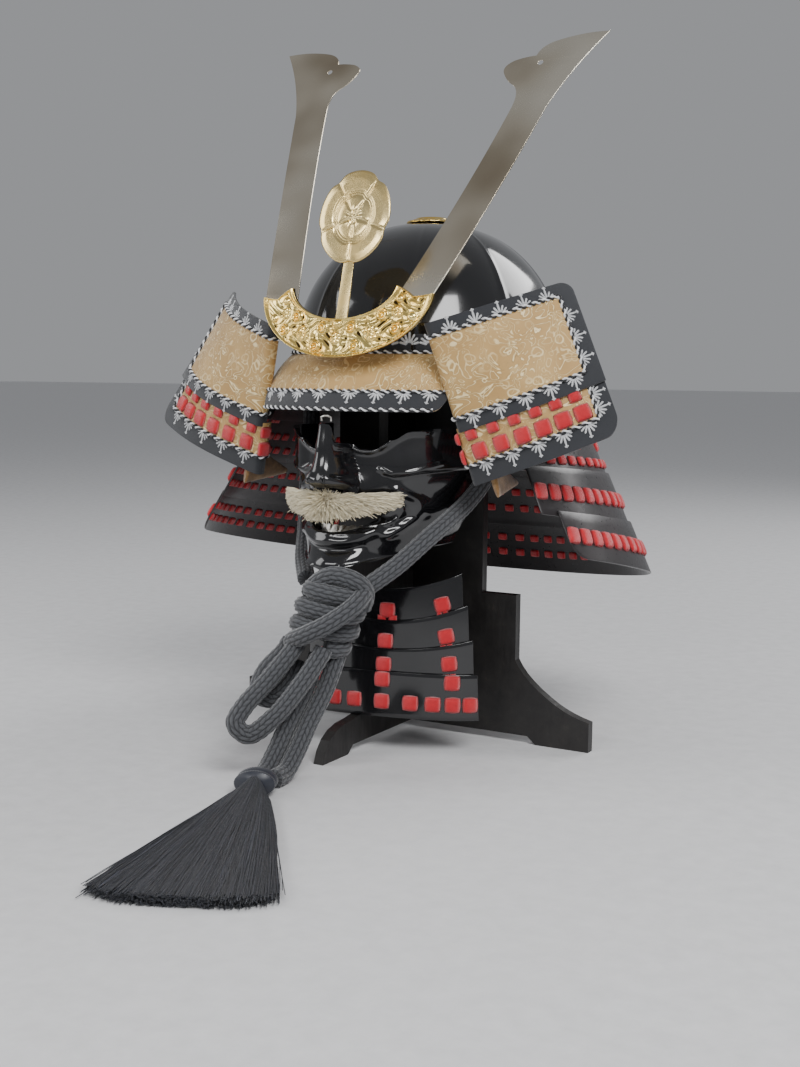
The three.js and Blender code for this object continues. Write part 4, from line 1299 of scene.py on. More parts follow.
def pillow(name, width, height, puff, across=8, up=8, pinch=2.6):
    """A puffed knot of lace, in millimetres, lying on the plane and open to nothing."""
    points, faces, uv = [], [], []
    us, vs = np.linspace(-1, 1, across + 1), np.linspace(-1, 1, up + 1)
    u, v = np.meshgrid(us, vs)
    squeeze = 1 - 0.05 * (np.abs(u) ** pinch * np.abs(v) ** pinch) ** 0.5 - 0.07 * u ** 2 * v ** 2
    x, y = u * width / 2 * squeeze, v * height / 2 * squeeze
    z = puff * ((1 - np.abs(u) ** 3.2) * (1 - np.abs(v) ** 3.2)) ** 0.45
    points = np.stack([x, y, z], -1).reshape(-1, 3)
    base = len(points)
    faces = quads(across, up, False)
    rim = list(range(across + 1)) + [j * (across + 1) + across for j in range(1, up + 1)]
    rim += [up * (across + 1) + i for i in range(across - 1, -1,
                                                 -1)] + [j * (across + 1) for j in range(up - 1, 0, -1)]
    points = np.vstack([points, [[0, 0, -0.3]]])
    faces += [(rim[(i + 1) % len(rim)], rim[i], base) for i in range(len(rim))]
    uv = points[:, [0, 1]] * MM
    return outwards(piece_of(name, mesh_from(name, points * MM, faces, uv), None))


# ---------- the cord ----------
def bow_point(point):
    """A point given across, out from the throat guard, and up, in millimetres."""
    turn = math.radians(BOW_TURN)
    across, out, up = point
    return (KNOT[0] + across * math.cos(turn) + out * math.sin(turn),
            KNOT[1] + across * math.sin(turn) - out * math.cos(turn), up)


PLAIT = {"columns": 12, "pitch": 0.0066, "slant": 0.8, "rise": 0.0011, "sides": 60, "step": 0.0008}


def plait(turn, run):
    """The pile of the braid: columns of slanted stitches, leaning to one side and the other by turns."""
    column = turn / (2 * np.pi) * PLAIT["columns"]
    index = np.floor(column + 1e-9)
    aside = column - index - 0.5
    odd = np.mod(index, 2)
    phase = np.mod(run / PLAIT["pitch"] + 0.5 * odd + PLAIT["slant"] * aside * (1 - 2 * odd), 1.0)
    lengthwise = 1 - np.abs(2 * phase - 1) ** 2.2
    crosswise = 1 - np.abs(2 * aside) ** 2.4
    return np.clip(lengthwise * crosswise, 0, 1) ** 0.55


def braid(name, line):
    """A braided cord along a line in metres."""
    line = evenly(line, max(8, int(length_of(line) / PLAIT["step"])))
    rise = PLAIT["rise"]
    # The pile attribute carries the plait's height, for the painted shade in the braid's hollows.
    mesh = tube_mesh(name, line, CORD_RADIUS * MM - 0.6 * rise, PLAIT["sides"], lambda turn,
                     run: rise * plait(turn, run),
                     {"pile": plait})
    return piece_of(name, mesh, LOOKS["braid"])


CORDS = {
    "chin_cord_left": (LEFT_RUN, False, "knot"),
    "chin_cord_right": (RIGHT_RUN, False, "knot"),
    "cord_loop_long": (LONG_LOOP, True, "knot"),
    "cord_loop_short": (SHORT_LOOP, True, "knot"),
    "cord_tail_1": (TAIL_1, True, "fitting"),
    "cord_tail_2": (TAIL_2, True, "fitting"),
}


def cord_line(name):
    points, in_bow, _ = CORDS[name]
    return placed(curve_points([bow_point(p) for p in points] if in_bow else points, 240))


def knot_lines():
    """The knot: three flattened turns round the ends, one strand across them, and a hump on top."""
    middle = np.array(KNOT)
    down = unit(np.array([-0.36, -0.10, -1.0]))
    across = unit(np.array([math.cos(math.radians(BOW_TURN)), math.sin(math.radians(BOW_TURN)), -0.32]))
    out = unit(np.cross(down, across))
    coil = []
    for share in np.linspace(0, 1, 60):
        angle = 2 * np.pi * (3.1 * share) + 0.6
        reach = 1.0 - 0.10 * abs(2 * share - 1)
        level = mix(-25.0, 23.0, share)
        coil.append(middle + down * level + across * 22.5 * reach * math.cos(angle)
                    + out * 13.5 * reach * math.sin(angle))
    crossing = [middle + across * a + out * o + down * d for a, o, d in (
        (21, 6, -30), (16, 20, -20), (2, 27, -2), (-12, 22, 14), (-20, 8, 26), (-16, -4, 34))]
    hump = [middle + across * a + out * o + down * d for a, o, d in (
        (24, -2, -16), (22, 2, -30), (10, 8, -38), (-8, 6, -36), (-18, 0, -24), (-20, -4, -12))]
    return [np.array(coil), np.array(crossing), np.array(hump)]


def make_cords():
    parts = [braid(f"knot_strand_{i}", placed(curve_points(line, 400))) for i,
             line in enumerate(knot_lines())]
    knot = fitted(joined("braid_knot", parts), "braid", "cord_knot")
    collar = fitted(tassel_collar(), "hair", "tassel_head")
    for name, (_, _, far_end) in CORDS.items():
        line = cord_line(name)
        piece = fitted(braid(name.replace("cord", "braid"), line), "braid", name)
        length_of(line)


def tassel_axes():
    forward = np.array([math.cos(TASSEL["heading"]), math.sin(TASSEL["heading"]), 0.0])
    across = np.array([-forward[1], forward[0], 0.0])
    start = np.array(bow_point((TASSEL["across"], TASSEL["out"], 0)))
    return start, forward, across


def make_tassel():
    rng = np.random.default_rng(11)
    start, forward, across = tassel_axes()
    up = np.array([0.0, 0.0, 1.0])
    strands_wanted, steps = chosen_sizes().tassel_threads, 9
    place = rng.uniform(-1, 1, strands_wanted)
    level = rng.uniform(0, 1, strands_wanted) ** 0.8
    share = np.linspace(0, 1, steps)
    reach = TASSEL["length"] - 16 * place ** 2 + rng.normal(0, 4.5, strands_wanted)
    reach = np.minimum(reach, 224)
    fan = place[:, None] * mix(9.0, TASSEL["spread"], share[None, :] ** 0.8)
    wander = rng.normal(0, 3.4, strands_wanted)[:, None] * share[None, :] ** 1.5
    wave = 1.6 * np.sin(share[None, :] * rng.uniform(3, 9, strands_wanted)[:, None] + rng.uniform(0, 6.3,
                                                            strands_wanted)[:, None])
    height = mix(17.5, 9.0, share[None, :]) * (1 - 0.35 * place[:, None] ** 2)
    round_off = np.sqrt(np.clip(1 - 0.75 * place[:, None] ** 2, 0, 1))
    rise = 0.7 + level[:, None] * (height - 1.0) * mix(1.0, round_off, 1 - share[None, :])
    points = (start + forward * 10.5 + forward * (reach[:, None] * share[None, :])[..., None]
              + across * (fan + wander + wave * share[None, :])[..., None] + up * rise[..., None])
    tint = rng.beta(1.6, 3.2, strands_wanted)
    hair = strands("tassel_threads", placed(points), 0.00034, LOOKS["hair"], 3, tint,
                   np.linspace(1, 0.6, steps))
    fitted(hair, "hair", "tassel_hair")


def tassel_collar():
    """The bound head of the tassel: folded threads over a core, wound near its end."""
    start, forward, across = tassel_axes()
    up = np.array([0.0, 0.0, 1.0])
    sides, rows = 96, 26
    points = []
    for t in np.linspace(0, 1, rows):
        size = 0.55 + 0.45 * math.sin(min(1.0, t / 0.4) * math.pi / 2)
        wound = 1.0 - 0.07 * math.exp(-((t - 0.72) / 0.09) ** 2)
        for k in range(sides):
            angle = 2 * math.pi * k / sides
            grain = 1 + 0.02 * math.cos(angle * 48)
            radius = 16.0 * size * wound * grain
            points.append(start + forward * mix(-10.0, 10.0, t) + across * radius * math.cos(angle)
                          + up * (10.6 + 0.62 * radius * math.sin(angle)))
    count = len(points)
    points += [start - forward * 10.0 + up * 10.6, start + forward * 10.0 + up * 10.6]
    faces = quads(sides, rows - 1, True)
    for k in range(sides):
        faces.append(((k + 1) % sides, k, count))
        faces.append((count - sides + k, count - sides + (k + 1) % sides, count + 1))
    uv = np.array([(p[0] * MM, p[1] * MM) for p in points])
    mesh = mesh_from("tassel_collar", placed(points), faces, uv, {"tint": np.full(len(points), 0.45)})
    return outwards(piece_of("tassel_collar", mesh, LOOKS["hair"]))


# ---------- embroidery and lacing ----------
def chosen_sizes():
    return bpy.context.scene.kabuto_sizes


def fans_along(name, surface, side, pitch, scale, runs, crosses, squash=1.0):
    """Fans set out along straight runs of a surface, each growing the way the run says, in u and v."""
    places = Places()
    for u0, v0, u1, v1, grows in runs:
        line = surface(np.linspace(u0, u1, 60), np.linspace(v0, v1, 60))
        count = max(2, int(round(length_of(line) / pitch)))
        for k in range(count):
            share = (k + 0.5) / count
            spot, across, down, normal = facing(surface, mix(u0, u1, share), mix(v0, v1, share), side, 0.15)
            forward = across * grows[0] + down * grows[1]
            pointing(places, spot, forward, normal, (1, squash, 1))
    return fitted(places.piece(name, fan_pattern(crosses), LOOKS["white_thread"], scale), "embroidered_cloth")


def knots_at(name, spots, width, height, puff, look="red_silk", slot="braid"):
    """Puffed knots of lace at spots of (place, along, normal, size)."""
    places = Places()
    for spot, across, normal, size in spots:
        places.add(spot, across, normal, size)
    return fitted(places.piece(name, pillow("knot", width, height, puff), LOOKS[look]), slot)


# ---------- the bowl and the visor ----------
def make_bowl():
    look = LOOKS["lacquer"]
    bowl = shell("bowl_shell", bowl_surface(), 256, 60, BOWL["wall"], look, 1, True, (760, 220), 0.0005,
                 us=np.linspace(0, 1, 321), vs=np.append([-0.012], np.linspace(0, 0.955, 61)))
    fitted(bowl, "lacquer", "bowl")
    z = BOWL["rim"] + BOWL["height"] + 0.3
    profile = [(22.6, 0.0), (23.0, 0.5), (22.4, 1.2), (20.6, 2.1), (18.0, 2.6), (15.6, 3.0), (15.2, 3.7),
               (13.6, 4.9),
               (12.4, 5.1), (9.0, 4.9), (8.2, 4.4), (7.8, 3.6), (6.4, 2.7), (4.6, 2.5), (2.0, 2.6)]
    petals = lambda angle, share: 0.35 * np.cos(angle * 16) * (0.06 < share < 0.42)
    band = shell("brow_band", bowl_band(13, 35.5, 0.75), 120, 8, 0.6, LOOKS["cloth"], -1, False, (210, 22),
                 0.0002)
    fitted(band, "embroidered_cloth")
    fans_along("brow_fans", bowl_band(13, 35.5, 0.75), -1, chosen_sizes().fan_pitch / MM * 0.8, 1.1,
               [(0.02, 0.42, 0.98, 0.42, (0, -1))],
               False)
    fitting = lathe("top_rosette", profile, (0, MIDDLE, z), 192, LOOKS["gold"], petals)
    fitted(fitting, "gold", "top_fitting")


def make_visor():
    surface = visor_surface()
    rounded = lambda u, v: surface(*cornered(u, v, 0.075, 0.42))
    rows = fine_ends(14, 14, 0.42)
    visor = shell("visor_cloth", rounded, 140, 28, 2.4, LOOKS["brocade"], -1, False, (215, 52), 0.0007,
                  vs=rows)
    fitted(visor, "brocade", "visor")
    edge = lambda u, v: surface(*cornered(u, mix(0.76, 1.0, v), 0.075, 0.42))
    strip = shell("visor_border", lifted(edge, -1, 0.55), 160, 8, 3.5, LOOKS["cloth"], -1, False, (215, 13),
                  0.0004,
                  vs=fine_ends(3, 9, 0.9))
    fitted(strip, "embroidered_cloth")
    fans_along("visor_fans", lifted(edge, -1, 0.55), -1, chosen_sizes().fan_pitch / MM, 1.0,
               [(0.03, 0.02, 0.97, 0.02, (0, 1))], True,
               squash=0.8)
    t = np.linspace(0, 1, 240)
    flap = lifted(edge, -1, 1.2)
    fitted(edge_lines("visor_cords", [placed(flap(t, np.zeros(240))), placed(flap(t, np.ones(240))),
                                      placed(lifted(surface, -1, 1.3)(t, np.full(240, 0.015)))],
                      LOOKS["white_thread"], LOOKS["black_thread"], 0.0009, 740.0), "embroidered_cloth")


# ---------- the neck guard ----------
def make_neck_guard():
    for index in range(4):
        surface = lame_surface(index)
        rows = fine_ends(4, 12, 0.36) if index == 3 else np.linspace(0, 1, 9)
        lame = shell(f"neck_plate_{index + 1}", surface, 220, 8, GUARD["wall"], LOOKS["plate"], -1, False,
                     (700, 60), 0.0004,
                     vs=rows)
        fitted(lame, "lacquer", f"neck_lame_{index + 1}")


def lace_count(index, v):
    surface = lame_surface(index, False)
    u = np.linspace(0, 1, 200)
    return int(length_of(surface(u, np.full(200, v))) / (chosen_sizes().lace_pitch / MM))


def lace_on(patch, columns, rows, rim, swell, span, closes):
    """A ribbed lace on a patch: rim high at its sides, fuller in the middle, low at its ends."""
    def surface(u, v):
        full = swell * np.sqrt(np.clip(1 - (2 * u - 1) ** 2, 0, 1))
        if closes:
            full = full * np.clip(np.minimum(v, 1 - v) * closes, 0, 1)
        return patch(u, v) + normal_of(patch, u, v, -1) * (rim + full)[..., None]
    return shell("lace", surface, columns, rows, 0, LOOKS["red_silk"], -1, False, span, 0, back=patch)


def make_lacing():
    spots = {"round": [], "wide": [], "inner": []}
    pairs = []
    # rows of knots on the outside: plate, height share and kind
    for index, v, kind in ((1, 0.74, "round"), (2, 0.52, "wide"), (3, 0.52, "wide")):
        surface = lame_surface(index, False)
        count = lace_count(index, v)
        for k in range(count):
            spot, across, _, normal = facing(surface, (k + 0.5) / count, v, -1, 0.1)
            spots[kind].append((spot, across, normal, (1, 1, 1)))
    # pairs of ribbed laces and loops at wider stations
    stations = [mix(0.03, 0.97, k / 9) for k in range(10)]
    for index, start, stop in ((0, 0.18, 1.08), (1, 0.10, 0.50)):
        surface = lame_surface(index, False)
        wide = 9.5 / length_of(surface(np.linspace(0, 1, 100), np.full(100, 0.5)))
        for station in stations:
            for side in (-0.62, 0.62):
                patch = part_of(surface, (station + (side - 0.5) * wide, station + (side + 0.5) * wide),
                                (start, stop))
                pairs.append(lace_on(patch, 8, 14, 0.3, 2.4, (9.5, 40), 12))
    fitted(joined("standing_laces", pairs), "braid")
    # the laces' turns on the inside of the plates
    for index, levels in ((1, (0.45, 0.75)), (2, (0.38, 0.68)), (3, (0.36, 0.66))):
        surface = lame_surface(index, False)
        inside = lifted(surface, -1, -GUARD["wall"])
        for v in levels:
            count = lace_count(index, v)
            for k in range(count):
                spot, across, _, normal = facing(inside, (k + 0.5) / count, v, 1, 0.05)
                spots["inner"].append((spot, across, normal, (1, 1, 1)))
    knots_at("lace_round", spots["round"], 10.8, 9.5, 3.0)
    knots_at("lace_wide", spots["wide"], 12.4, 16.0, 3.4)
    knots_at("lace_inner", spots["inner"], 10.5, 8.0, 2.2)


# ---------- the wings ----------
def wing_base(part, side_name="left"):
    surface = wing_surface(part)
    us = np.concatenate([np.linspace(-ROLL, 0, 13)[:-1], np.linspace(0, 1, 61)])
    if part == "upper":
        shape = lambda u, v: surface(*wing_round(u, v, 0.10, 0.12, True, False))
        vs = fine_ends(24, 12, 0.12, True, False)
    else:
        shape = lambda u, v: surface(*wing_round(u, v, 0.12, 0.34, False, True))
        vs = fine_ends(14, 14, 0.34)
    return shell(f"wing_{part}_cloth_{side_name}", shape, 0, 0, WING["wall"], LOOKS["cloth"], -1, False,
                 (110, 92), 0.0006,
                 us=us, vs=vs)


def wing_round(u, v, reach_u, reach_v, top, low):
    """Round the wing's outer corners; its rolled inner edge is left alone."""
    inset = corner_inset(u, v, reach_u, reach_v, top, low)
    return np.where(u > 0, u * (1 - inset), u), v


WING_PANELS = {"upper": ((-ROLL, 0.87), (0.13, 0.86)), "lower": ((-ROLL, 0.87), (0.0, 0.64))}
# the knots on the lower wing: u, v, width and height against the pattern's
WING_KNOTS = [(mix(0.055, 0.76, k / 5), 0.16, 0.72, 0.66) for k in range(6)]
WING_KNOTS += [(mix(0.08, 0.78, k / 5), 0.46, 0.93, 0.98) for k in range(6)] + [(-0.035, 0.18, 0.7, 0.75),
                                                            (-0.035, 0.5, 0.8, 0.95)]


def wing_trim(part):
    """Brocade, borders, fans and twisted cord on one wing."""
    surface = wing_surface(part)
    us, vs = WING_PANELS[part]
    panel = lifted(part_of(surface, us, vs), -1, 0.5)
    cloth = shell(f"wing_{part}_brocade", panel, 0, 0, 1.0, LOOKS["brocade"], -1, False,
                  (104, 66 if part == "upper" else 32), 0.0003,
                  us=np.concatenate([np.linspace(0, 0.08, 10)[:-1], np.linspace(0.08, 1, 50)]),
                  vs=np.linspace(0, 1, 25))
    base = lifted(surface, -1, 0.0)
    right, low = us[1] + 0.005, vs[1] + 0.01
    runs = [(0.0, low, right, low, (0, 1)), (right, vs[0] + 0.08, right, low - 0.03, (1, 0))]
    if part == "upper":
        runs.append((0.02, vs[0], right, vs[0], (0, -1)))
    fans = fans_along(f"wing_{part}_fans", base, -1, chosen_sizes().fan_pitch / MM, 0.98, runs, True, 0.92)
    lift = lifted(surface, -1, 1.0)
    t = np.linspace(0, 1, 120)
    lines = [placed(lift(mix(us[0], right, t), np.full(120, low))),
             placed(lift(np.full(120, right), mix(max(vs[0], 0.0), low, t)))]
    if part == "upper":
        lines.append(placed(lift(mix(us[0], right, t), np.full(120, vs[0] - 0.005))))
    cord = edge_lines(f"wing_{part}_cord", lines, LOOKS["white_thread"], LOOKS["black_thread"], 0.001, 740.0)
    return [(fitted(cloth, "brocade"), "brocade"), (fans, "embroidered_cloth"),
            (fitted(cord, "embroidered_cloth"), "embroidered_cloth")]


def make_wings():
    for part in WING_PARTS:
        left = wing_base(part)
        right = mirrored(left, f"wing_{part}_cloth_right")
        for side, piece in (("left", left), ("right", right)):
            fitted(piece, "embroidered_cloth", f"wing_{part}_{side}")
        trims = wing_trim(part)
        if part == "lower":
            face = wing_surface("lower")
            spots = []
            for u, v, wide, tall in WING_KNOTS:
                spot, across, _, normal = facing(face, u, v, -1, 0.7)
                spots.append((spot, across, normal, (wide, tall, 1)))
            trims.append((knots_at("wing_knots", spots, 15.5, 14.5, 3.4), "braid"))
        for piece, slot in trims:
            fitted(mirrored(piece, piece.name + "_right"), slot)
            piece.name += "_left"


# ---------- horns, crescent and crest ----------
def quadratic(start, bend, end, count=26):
    t = np.linspace(0, 1, count)[1:, None]
    start, bend, end = (np.array(p, float) for p in (start, bend, end))
    return (1 - t) ** 2 * start + 2 * t * (1 - t) * bend + t ** 2 * end


HORN_EDGE = [((103, 90), (126, 197)), ((139, 240), (164, 278.5)), ((140, 281), (116, 274)),
             ((103, 270), (101, 259)),
             ((92, 259), (82, 256)), ((71, 251), (74, 243)), ((79, 232), (88, 226)), ((96, 218), (93, 200)),
             ((76, 108), (44, 0))]


def flat_outline(name, loops, thickness, bevel, look, change):
    """A filled outline with holes, given a thickness and soft edges, then moved point by point into place."""
    curve = bpy.data.curves.new(name, "CURVE")
    curve.dimensions = "2D"
    curve.fill_mode = "BOTH"
    curve.extrude = (thickness / 2 - bevel) * MM
    curve.bevel_depth = bevel * MM
    curve.bevel_resolution = 2
    curve.offset = -bevel * MM
    for loop in loops:
        spline = curve.splines.new("POLY")
        spline.points.add(len(loop) - 1)
        spline.use_cyclic_u = True
        for point, (x, z) in zip(spline.points, loop):
            point.co = (x * MM, z * MM, 0, 1)
    drawn = bpy.data.objects.new(name, curve)
    bpy.context.scene.collection.objects.link(drawn)
    bpy.context.view_layer.update()
    mesh = bpy.data.meshes.new_from_object(drawn.evaluated_get(bpy.context.evaluated_depsgraph_get()))
    bpy.data.objects.remove(drawn)
    bpy.data.curves.remove(curve)
    mesh.name = name
    work = bmesh.new()
    work.from_mesh(mesh)
    bmesh.ops.remove_doubles(work, verts=work.verts, dist=1e-6)
    bmesh.ops.triangulate(work, faces=[f for f in work.faces if len(f.verts) > 4])
    work.to_mesh(mesh)
    work.free()
    flat = np.empty(len(mesh.vertices) * 3)
    mesh.vertices.foreach_get("co", flat)
    flat = flat.reshape(-1, 3) / MM
    points = placed(change(flat[:, 0], flat[:, 1], flat[:, 2]))
    mesh.vertices.foreach_set("co", points.ravel())
    mesh.materials.clear()
    piece = outwards(piece_of(name, mesh, look))
    piece.data.polygons.foreach_set("use_smooth", [True] * len(piece.data.polygons))
    piece.data.set_sharp_from_angle(angle=math.radians(40))
    return piece


def make_horns():
    tilt = math.hypot(1, HORN["lean"])
    for name, sign in (("left", 1), ("right", -1)):
        drawn = HORN_DRAWN[name]
        at = lambda p: (p[0] + 0.4 * drawn, p[1] + drawn * min(1, p[1] / 60))
        outline, last = [np.array([at((44, 0))]), np.array([at((77, 0))])], at((77, 0))
        for bend, end in HORN_EDGE:
            outline.append(quadratic(last, at(bend), at(end)))
            last = at(end)
        outline = np.vstack(outline)[:-1]
        hole = at((107, 250))
        ring = [(hole[0] + 2.6 * math.cos(a), hole[1] + 2.6 * math.sin(a)) for a in np.linspace(0,
                                                            2 * np.pi, 28, endpoint=False)]

        def lean(x, up, out):
            rise = up / tilt
            return stack(x * sign, HORN["y"] + HORN["thickness"] / 2 + rise * HORN["lean"] + out,
                         HORN["base"] + 0.3 + rise)
        horn = flat_outline(f"horn_blade_{name}", [outline, ring], HORN["thickness"], 0.35, LOOKS["nickel"],
                            lean)
        fitted(horn, "nickel", f"horn_{name}")


def crescent_plan(t, w):
    """Across and up, from the end at t 0 round to the end at t 1; w runs from the inner to the outer edge."""
    notch = 0.045 * (1 - np.abs(2 * w - 1))
    t = notch + t * (1 - 2 * notch)
    outer = np.pi * mix(1.02, 1.98, t)
    inner = np.pi * mix(1.03, 1.97, t)
    x = mix(CRESCENT["horn"] * np.cos(inner), CRESCENT["tip"] * 1.01 * np.cos(outer), w)
    z = mix(CRESCENT["inner_z"] + CRESCENT["inner_drop"] * np.sin(inner),
            CRESCENT["outer_z"] + CRESCENT["drop"] * np.sin(outer), w)
    return x, z


def crescent_face(x, z, out):
    """The crescent's front face lies in a leaning, slightly bent plane; out is the relief on it."""
    y = CRESCENT["y"] + (z - CRESCENT["z"]) * CRESCENT["lean"] + CRESCENT["bend"] * (x / CRESCENT["tip"]) ** 2
    return stack(x, y - out, z)


# on the crescent: place along it, place across it, size in millimetres, and kind
CRESCENT_BOSSES = [(0.5, 0.5, 5.0, "flower"), (0.5, 0.12, 4.0, "dome")]
for _turn in (-1, 1):
    CRESCENT_BOSSES += [(0.5 + _turn * a, w, size, kind) for a, w, size, kind in (
        (0.085, 0.26, 5.3, "ring"), (0.09, 0.76, 5.3, "ring"), (0.185, 0.55, 6.6, "flower"),
        (0.275, 0.24, 5.2, "ring"),
        (0.285, 0.74, 5.2, "ring"), (0.36, 0.4, 4.6, "flower"), (0.375, 0.8, 3.8, "dome"),
        (0.43, 0.24, 3.4, "dome"))]


def crescent_relief(t, w):
    """How far the chasing stands off the crescent, and how much painted shade its sunk ground and the rings round its
    bosses get, standing for openings.
    """
    x, z = crescent_plan(t, w)
    to_edge = np.minimum(w, 1 - w) * 31.0 * np.clip(0.35 + np.sin(np.pi * np.clip(t, 0, 1)) * 0.8, 0, 1)
    ends = np.minimum(t, 1 - t) * 210.0
    rim = 1.5 * smooth(1 - np.minimum(to_edge, ends) / 2.2)
    angle = np.arctan2(z - 470.0, x)
    scroll = np.sin(x * 0.42 + 2.2 * np.sin(z * 0.25)) * np.sin(z * 0.52 + 2.0 * np.sin(x * 0.2 + 1.0))
    leaf = 0.5 + 0.9 * scroll + 0.12 * np.sin(6 * angle + x * 0.6)
    # The ground value is the painted shade in the low parts of the relief.
    rise, ground = np.clip(leaf, -1.0, 1.0) * 0.8, smooth((0.05 - leaf) / 0.35)
    for at, across, size, kind in CRESCENT_BOSSES:
        cx, cz = crescent_plan(np.float64(at), np.float64(across))
        far = np.hypot(x - cx, z - cz) / size
        turn = np.arctan2(z - cz, x - cx)
        inside = far < 1
        if kind == "ring":
            own = 2.6 * gauss(far - 0.62, 0.22) + 0.3 - 0.9 * gauss(far, 0.3)
        elif kind == "dome":
            own = 2.8 * np.sqrt(np.clip(1 - far ** 2, 0, 1))
        else:
            petals = 0.75 + 0.25 * np.cos(turn * 8)
            own = 2.2 * petals * np.clip(1.15 - far ** 3, 0, 1) + 1.0 * gauss(far,
                                                            0.28) - 0.5 * gauss(far - 0.42, 0.1)
        rise = np.where(inside, own, rise)
        ground = np.where(inside, 0, ground)
        # Painted shade: a dark ring round each boss.
        ground = np.where((far >= 1) & (far < 1.12), np.maximum(ground, 0.6), ground)
    edge = np.minimum(to_edge, ends) < 2.2
    return np.where(edge, rim, rise), np.where(edge, 0, ground)


def make_crescent():
    surface = lambda u, v: crescent_face(*crescent_plan(u, v), crescent_relief(u, v)[0])
    back = lambda u, v: crescent_face(*crescent_plan(u, v), -CRESCENT["thickness"])
    # The open attribute carries the painted shade of the sunk ground.
    crescent = shell("crescent_mount", surface, 460, 72, 0, LOOKS["crescent"], 1, False, (240, 32), 0,
                     back=back,
                     attributes={"open": lambda u, v: crescent_relief(u, v)[1]})
    fitted(crescent, "gold", "crescent_base")


def crest_outline(angle):
    ripple = 1 - 0.06 * np.abs(np.sin(5 * (angle - np.pi / 2) / 2)) ** 14
    return CREST["half"] * ripple * np.cos(angle), CREST["tall"] * ripple * np.sin(angle)


def crest_lean(x, up, out):
    return stack(x, CREST["y"] + up * CREST["lean"] - out, CREST["z"] + up)


def crest_relief(share, angle):
    """The chased face: five creased lobes, a double ring, five inner lobes and a flower of eight petals."""
    near = np.abs(((angle - np.pi / 2) * 5 / (2 * np.pi)) % 1 - 0.5) * share * 40
    lobes = (1.5 * smooth((share - 0.56) / 0.06) * (1 - 0.6 * smooth((share - 0.8) / 0.2))
             * (1 - 0.8 * gauss(near, 0.9)))
    rings = 0.7 * gauss(share - 0.56, 0.018) + 0.7 * gauss(share - 0.50, 0.014)
    inner = 1.1 * np.sqrt(np.clip(1 - ((share - 0.30) / 0.17) ** 2, 0, 1)) * (1 - 0.8 * gauss(near, 1.1))
    petals = 0.8 * np.clip(np.cos(8 * angle / 2) ** 2, 0, 1) * gauss(share - 0.15,
                                                            0.08) + 0.8 * gauss(share, 0.045)
    fade = smooth((1 - share) / 0.04)
    return fade * np.where(share > 0.58, lobes, np.where(share > 0.47, rings, inner + petals))


def make_crest_plate():
    spokes, rows = 240, 72
    angle = np.linspace(0, 2 * np.pi, spokes, endpoint=False)
    share = np.linspace(1.0 / rows, 1, rows)
    a, r = np.meshgrid(angle, share)
    x, up = crest_outline(a)
    front = crest_lean(x * r, up * r, crest_relief(r, a))
    rear = crest_lean(x * r, up * r, np.full(r.shape, -CREST_THICK))
    points = np.vstack([front.reshape(-1, 3), rear.reshape(-1, 3),
                        [crest_lean(0.0, 0.0, 0.8), crest_lean(0.0, 0.0, -CREST_THICK)]])
    count = r.size
    faces = quads(spokes, rows - 1, True) + quads(spokes, rows - 1, True, count, True)
    for i in range(spokes):
        j = (i + 1) % spokes
        faces.append((i, j, 2 * count))
        faces.append((count + j, count + i, 2 * count + 1))
        faces.append((count - spokes + j, count - spokes + i, 2 * count - spokes + i, 2 * count - spokes + j))
    plate = outwards(piece_of("crest_disc", mesh_from("crest_disc", placed(points), faces, points[:, [0,
                                                            2]] * MM), LOOKS["pale_gold"]))
    half = CREST["stem"] / 2
    foot = CREST["foot"] - CREST["z"]
    stem = flat_outline("crest_stem", [[(-half, foot), (half, foot), (half * 0.86, -33),
                                        (-half * 0.86, -33)]], 1.6, 0.3,
                        LOOKS["pale_gold"], lambda x, up, out: crest_lean(x, up, out - 1.6))
    fitted(joined("crest_plate_piece", [plate, stem]), "pale_gold", "crest_plate")


# ---------- the mask ----------
def mask_plan(s, z):
    half = along(MASK_HALF, z)
    deep = MASK_MIDDLE - along(MASK_FRONT, z)
    share = np.minimum(1, np.abs(s) / MASK["wrap"])
    beyond = np.maximum(0, (np.abs(s) - MASK["wrap"]) / (1 - MASK["wrap"]))
    angle = np.sign(s) * share * np.pi / 2
    k = 2 / along(MASK_POWER, z)
    return stack(half * signed_power(np.sin(angle), k),
                 MASK_MIDDLE - deep * signed_power(np.cos(angle), k) + beyond * MASK["rear"], z)


def mask_base(u, v):
    s = 2 * np.asarray(u, float) - 1
    s, v = np.broadcast_arrays(s, np.asarray(v, float))
    guide = mask_plan(s, np.full(s.shape, 200.0))
    rear_rise = np.maximum(0, guide[..., 1] + 38)
    low = along(MASK_LOW, np.abs(guide[..., 0])) + rear_rise * 1.05
    top = along(MASK_TOP, np.abs(mask_plan(s, np.full(s.shape, 265.0))[..., 0]))
    z = mix(low, np.maximum(top, low + 12), v)
    point = mask_plan(s, z)
    across = np.abs(point[..., 0]) / along(NOSE_HALF, z)
    nose = np.where(across < 1, along(NOSE_RIDGE, z) * np.clip(1 - np.minimum(across, 1) ** 3, 0, 1) ** 0.8,
                    0)
    point[..., 1] -= nose
    aside = np.clip((np.abs(point[..., 0]) - 34) / 14, 0, 1)
    flange_low = 240 + 0.1 * np.maximum(0, np.abs(point[..., 0]) - 46)
    ledge = np.clip((z - flange_low) / 3.5, 0, 1)
    out = 4.2 * smooth(aside) * smooth(ledge)
    point[..., 0] += np.sign(point[..., 0]) * out * 0.7
    point[..., 1] -= out * 0.7
    return point


